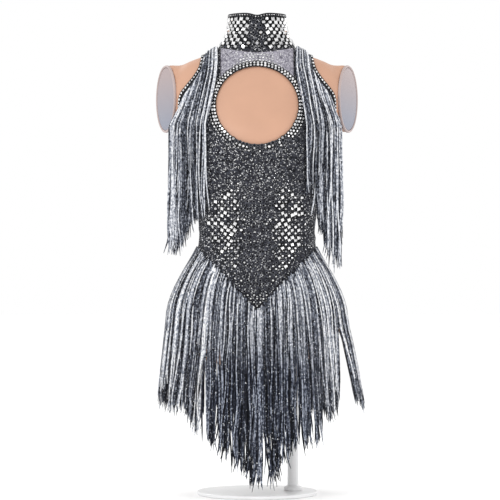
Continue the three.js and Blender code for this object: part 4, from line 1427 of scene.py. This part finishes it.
def shoulder_band(name, sign, column):
    x, z = spline(SHOULDER_LINE, 200)[::5].T
    turn = turn_at(sign * x, z, column)
    out = body_normal(z - HIP_Z, turn)
    top = skin(z - HIP_Z, turn, OUT + 2 * SEAM + TAPE)
    down = np.cross(np.gradient(top, axis=0), out)
    down /= np.linalg.norm(down, axis=1, keepdims=True)
    down *= -np.sign(down[:, 2:3])
    low = top + down * 6 * MM
    order = slice(None) if sign * FACING[column] < 0 else slice(None, None, -1)
    return band(name, top[order], low[order], out[order])


shoulder_pieces, shoulder_tapes = {}, []
for sign, side in ((-1, "left"), (1, "right")):
    for column in ("front", "back"):
        name = f"shoulder_fringe_{column}_{side}"
        shoulder_pieces[name] = shoulder_fringe(f"{name}_yarns", sign, column, (46, 38, 32))
        shoulder_tapes.append(shoulder_band(f"{name}_tape", sign, column))

# --- finishes, and what each piece stands for ---


def coat(obj, finish, angle):
    obj.data.materials.clear()
    obj.data.materials.append(finish)
    smooth(obj, angle)


drop(
    cloth, tape, trunk, keyhole, keyhole_edge, *armholes, *legs, collar_zone, body_zone,
    front_half, *back_halves, back_slit, upper, lower, yoke_inside, yoke_outside, collar_top,
    collar_dip, lower_dip,
)
PANELS = {
    "front": front, "yoke": yoke, "back_left": backs[0], "back_right": backs[1],
    "gusset": gusset, "collar": collar,
}
for name, panel in PANELS.items():
    coat(panel, MESH if name == "yoke" else KNIT, 40)
TRIMS = {"collar_binding": collar_tape, "keyhole_binding": keyhole_tape} | {
    f"{kind}_binding_{side}": piece for (kind, side), piece in edge_tapes.items()
}
for name, piece in TRIMS.items():
    coat(piece, ELASTIC, 40)
for piece in hip_tapes + shoulder_tapes:
    coat(piece, HEADER, 40)
for piece in (hip_front, hip_back, *shoulder_pieces.values()):
    smooth(piece, 80)
FORM = {
    "form_torso": (form, SHELL, "form_shell"), "form_neck_cap": (neck_cap, CAP, "form_cap"),
    "form_arm_cap_left": (arm_caps[0], CAP, "form_cap"),
    "form_arm_cap_right": (arm_caps[1], CAP, "form_cap"),
    "form_arm_rim_left": (arm_rims[0], RIM, "form_rim"),
    "form_arm_rim_right": (arm_rims[1], RIM, "form_rim"),
    "stand_base": (stand_base, STEEL, "white_steel"),
    "stand_pole": (stand_pole, STEEL, "white_steel"),
    "stand_socket": (stand_socket, STEEL, "white_steel"),
}
for piece, finish, slot in FORM.values():
    coat(piece, finish, 30)

BUILT = PANELS | TRIMS | {name: row[0] for name, row in FORM.items()}
for name, piece in BUILT.items():
    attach(piece, "root")
    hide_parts(name)
FRINGES = {"hip_fringe_front": hip_front, "hip_fringe_back": hip_back} | shoulder_pieces
for name, piece in FRINGES.items():
    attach(piece, "root")
    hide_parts(name)
for piece in hip_tapes + shoulder_tapes:
    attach(piece, "root")
for group in stone_pieces.values():
    for piece in group:
        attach(piece, "root")

# --- studio ---

bpy.ops.mesh.primitive_circle_add(
    vertices=128, radius=14, fill_type="NGON", location=(0, 0, -0.0005)
)
floor = bpy.context.object
floor.name = "studio_floor"
floor.data.materials.append(FLOOR)

world = bpy.context.scene.world or bpy.data.worlds.new("studio")
bpy.context.scene.world = world
world.use_nodes = True
feed(world, world.node_tree.nodes["Background"], Color=(1, 1, 1, 1), Strength=1.0)


def area_light(name, at, target, size, power):
    light = bpy.data.lights.new(name, "AREA")
    light.energy = power
    light.size = size
    obj = bpy.data.objects.new(name, light)
    obj.location = at
    x, y, z = np.array(target) - np.array(at)
    upwards = math.atan2(z, math.hypot(x, y))
    obj.rotation_euler = (math.pi / 2 + upwards, 0, math.atan2(y, x) - math.pi / 2)
    bpy.context.scene.collection.objects.link(obj)


# A soft key from the left, a weak wide fill, and two behind that draw the edges.
area_light("key", (-1.6, -2.6, 2.3), (0, 0, 0.6), 0.7, 30)
area_light("fill", (2.2, -2.2, 1.2), (0, 0, 0.6), 1.4, 8)
area_light("back left", (-1.5, 1.9, 1.9), (0, 0, 0.7), 0.8, 14)
area_light("back right", (1.6, 1.7, 1.5), (0, 0, 0.7), 0.8, 12)

camera_data = bpy.data.cameras.new("camera")
camera_data.lens = 180
camera_data.sensor_width = 36
camera = bpy.data.objects.new("camera", camera_data)
camera.location = (-0.014, -5.0, 0.488)
camera.rotation_euler = (math.pi / 2, 0, 0)
bpy.context.scene.collection.objects.link(camera)
bpy.context.scene.camera = camera
bpy.context.scene.view_settings.view_transform = "Standard"
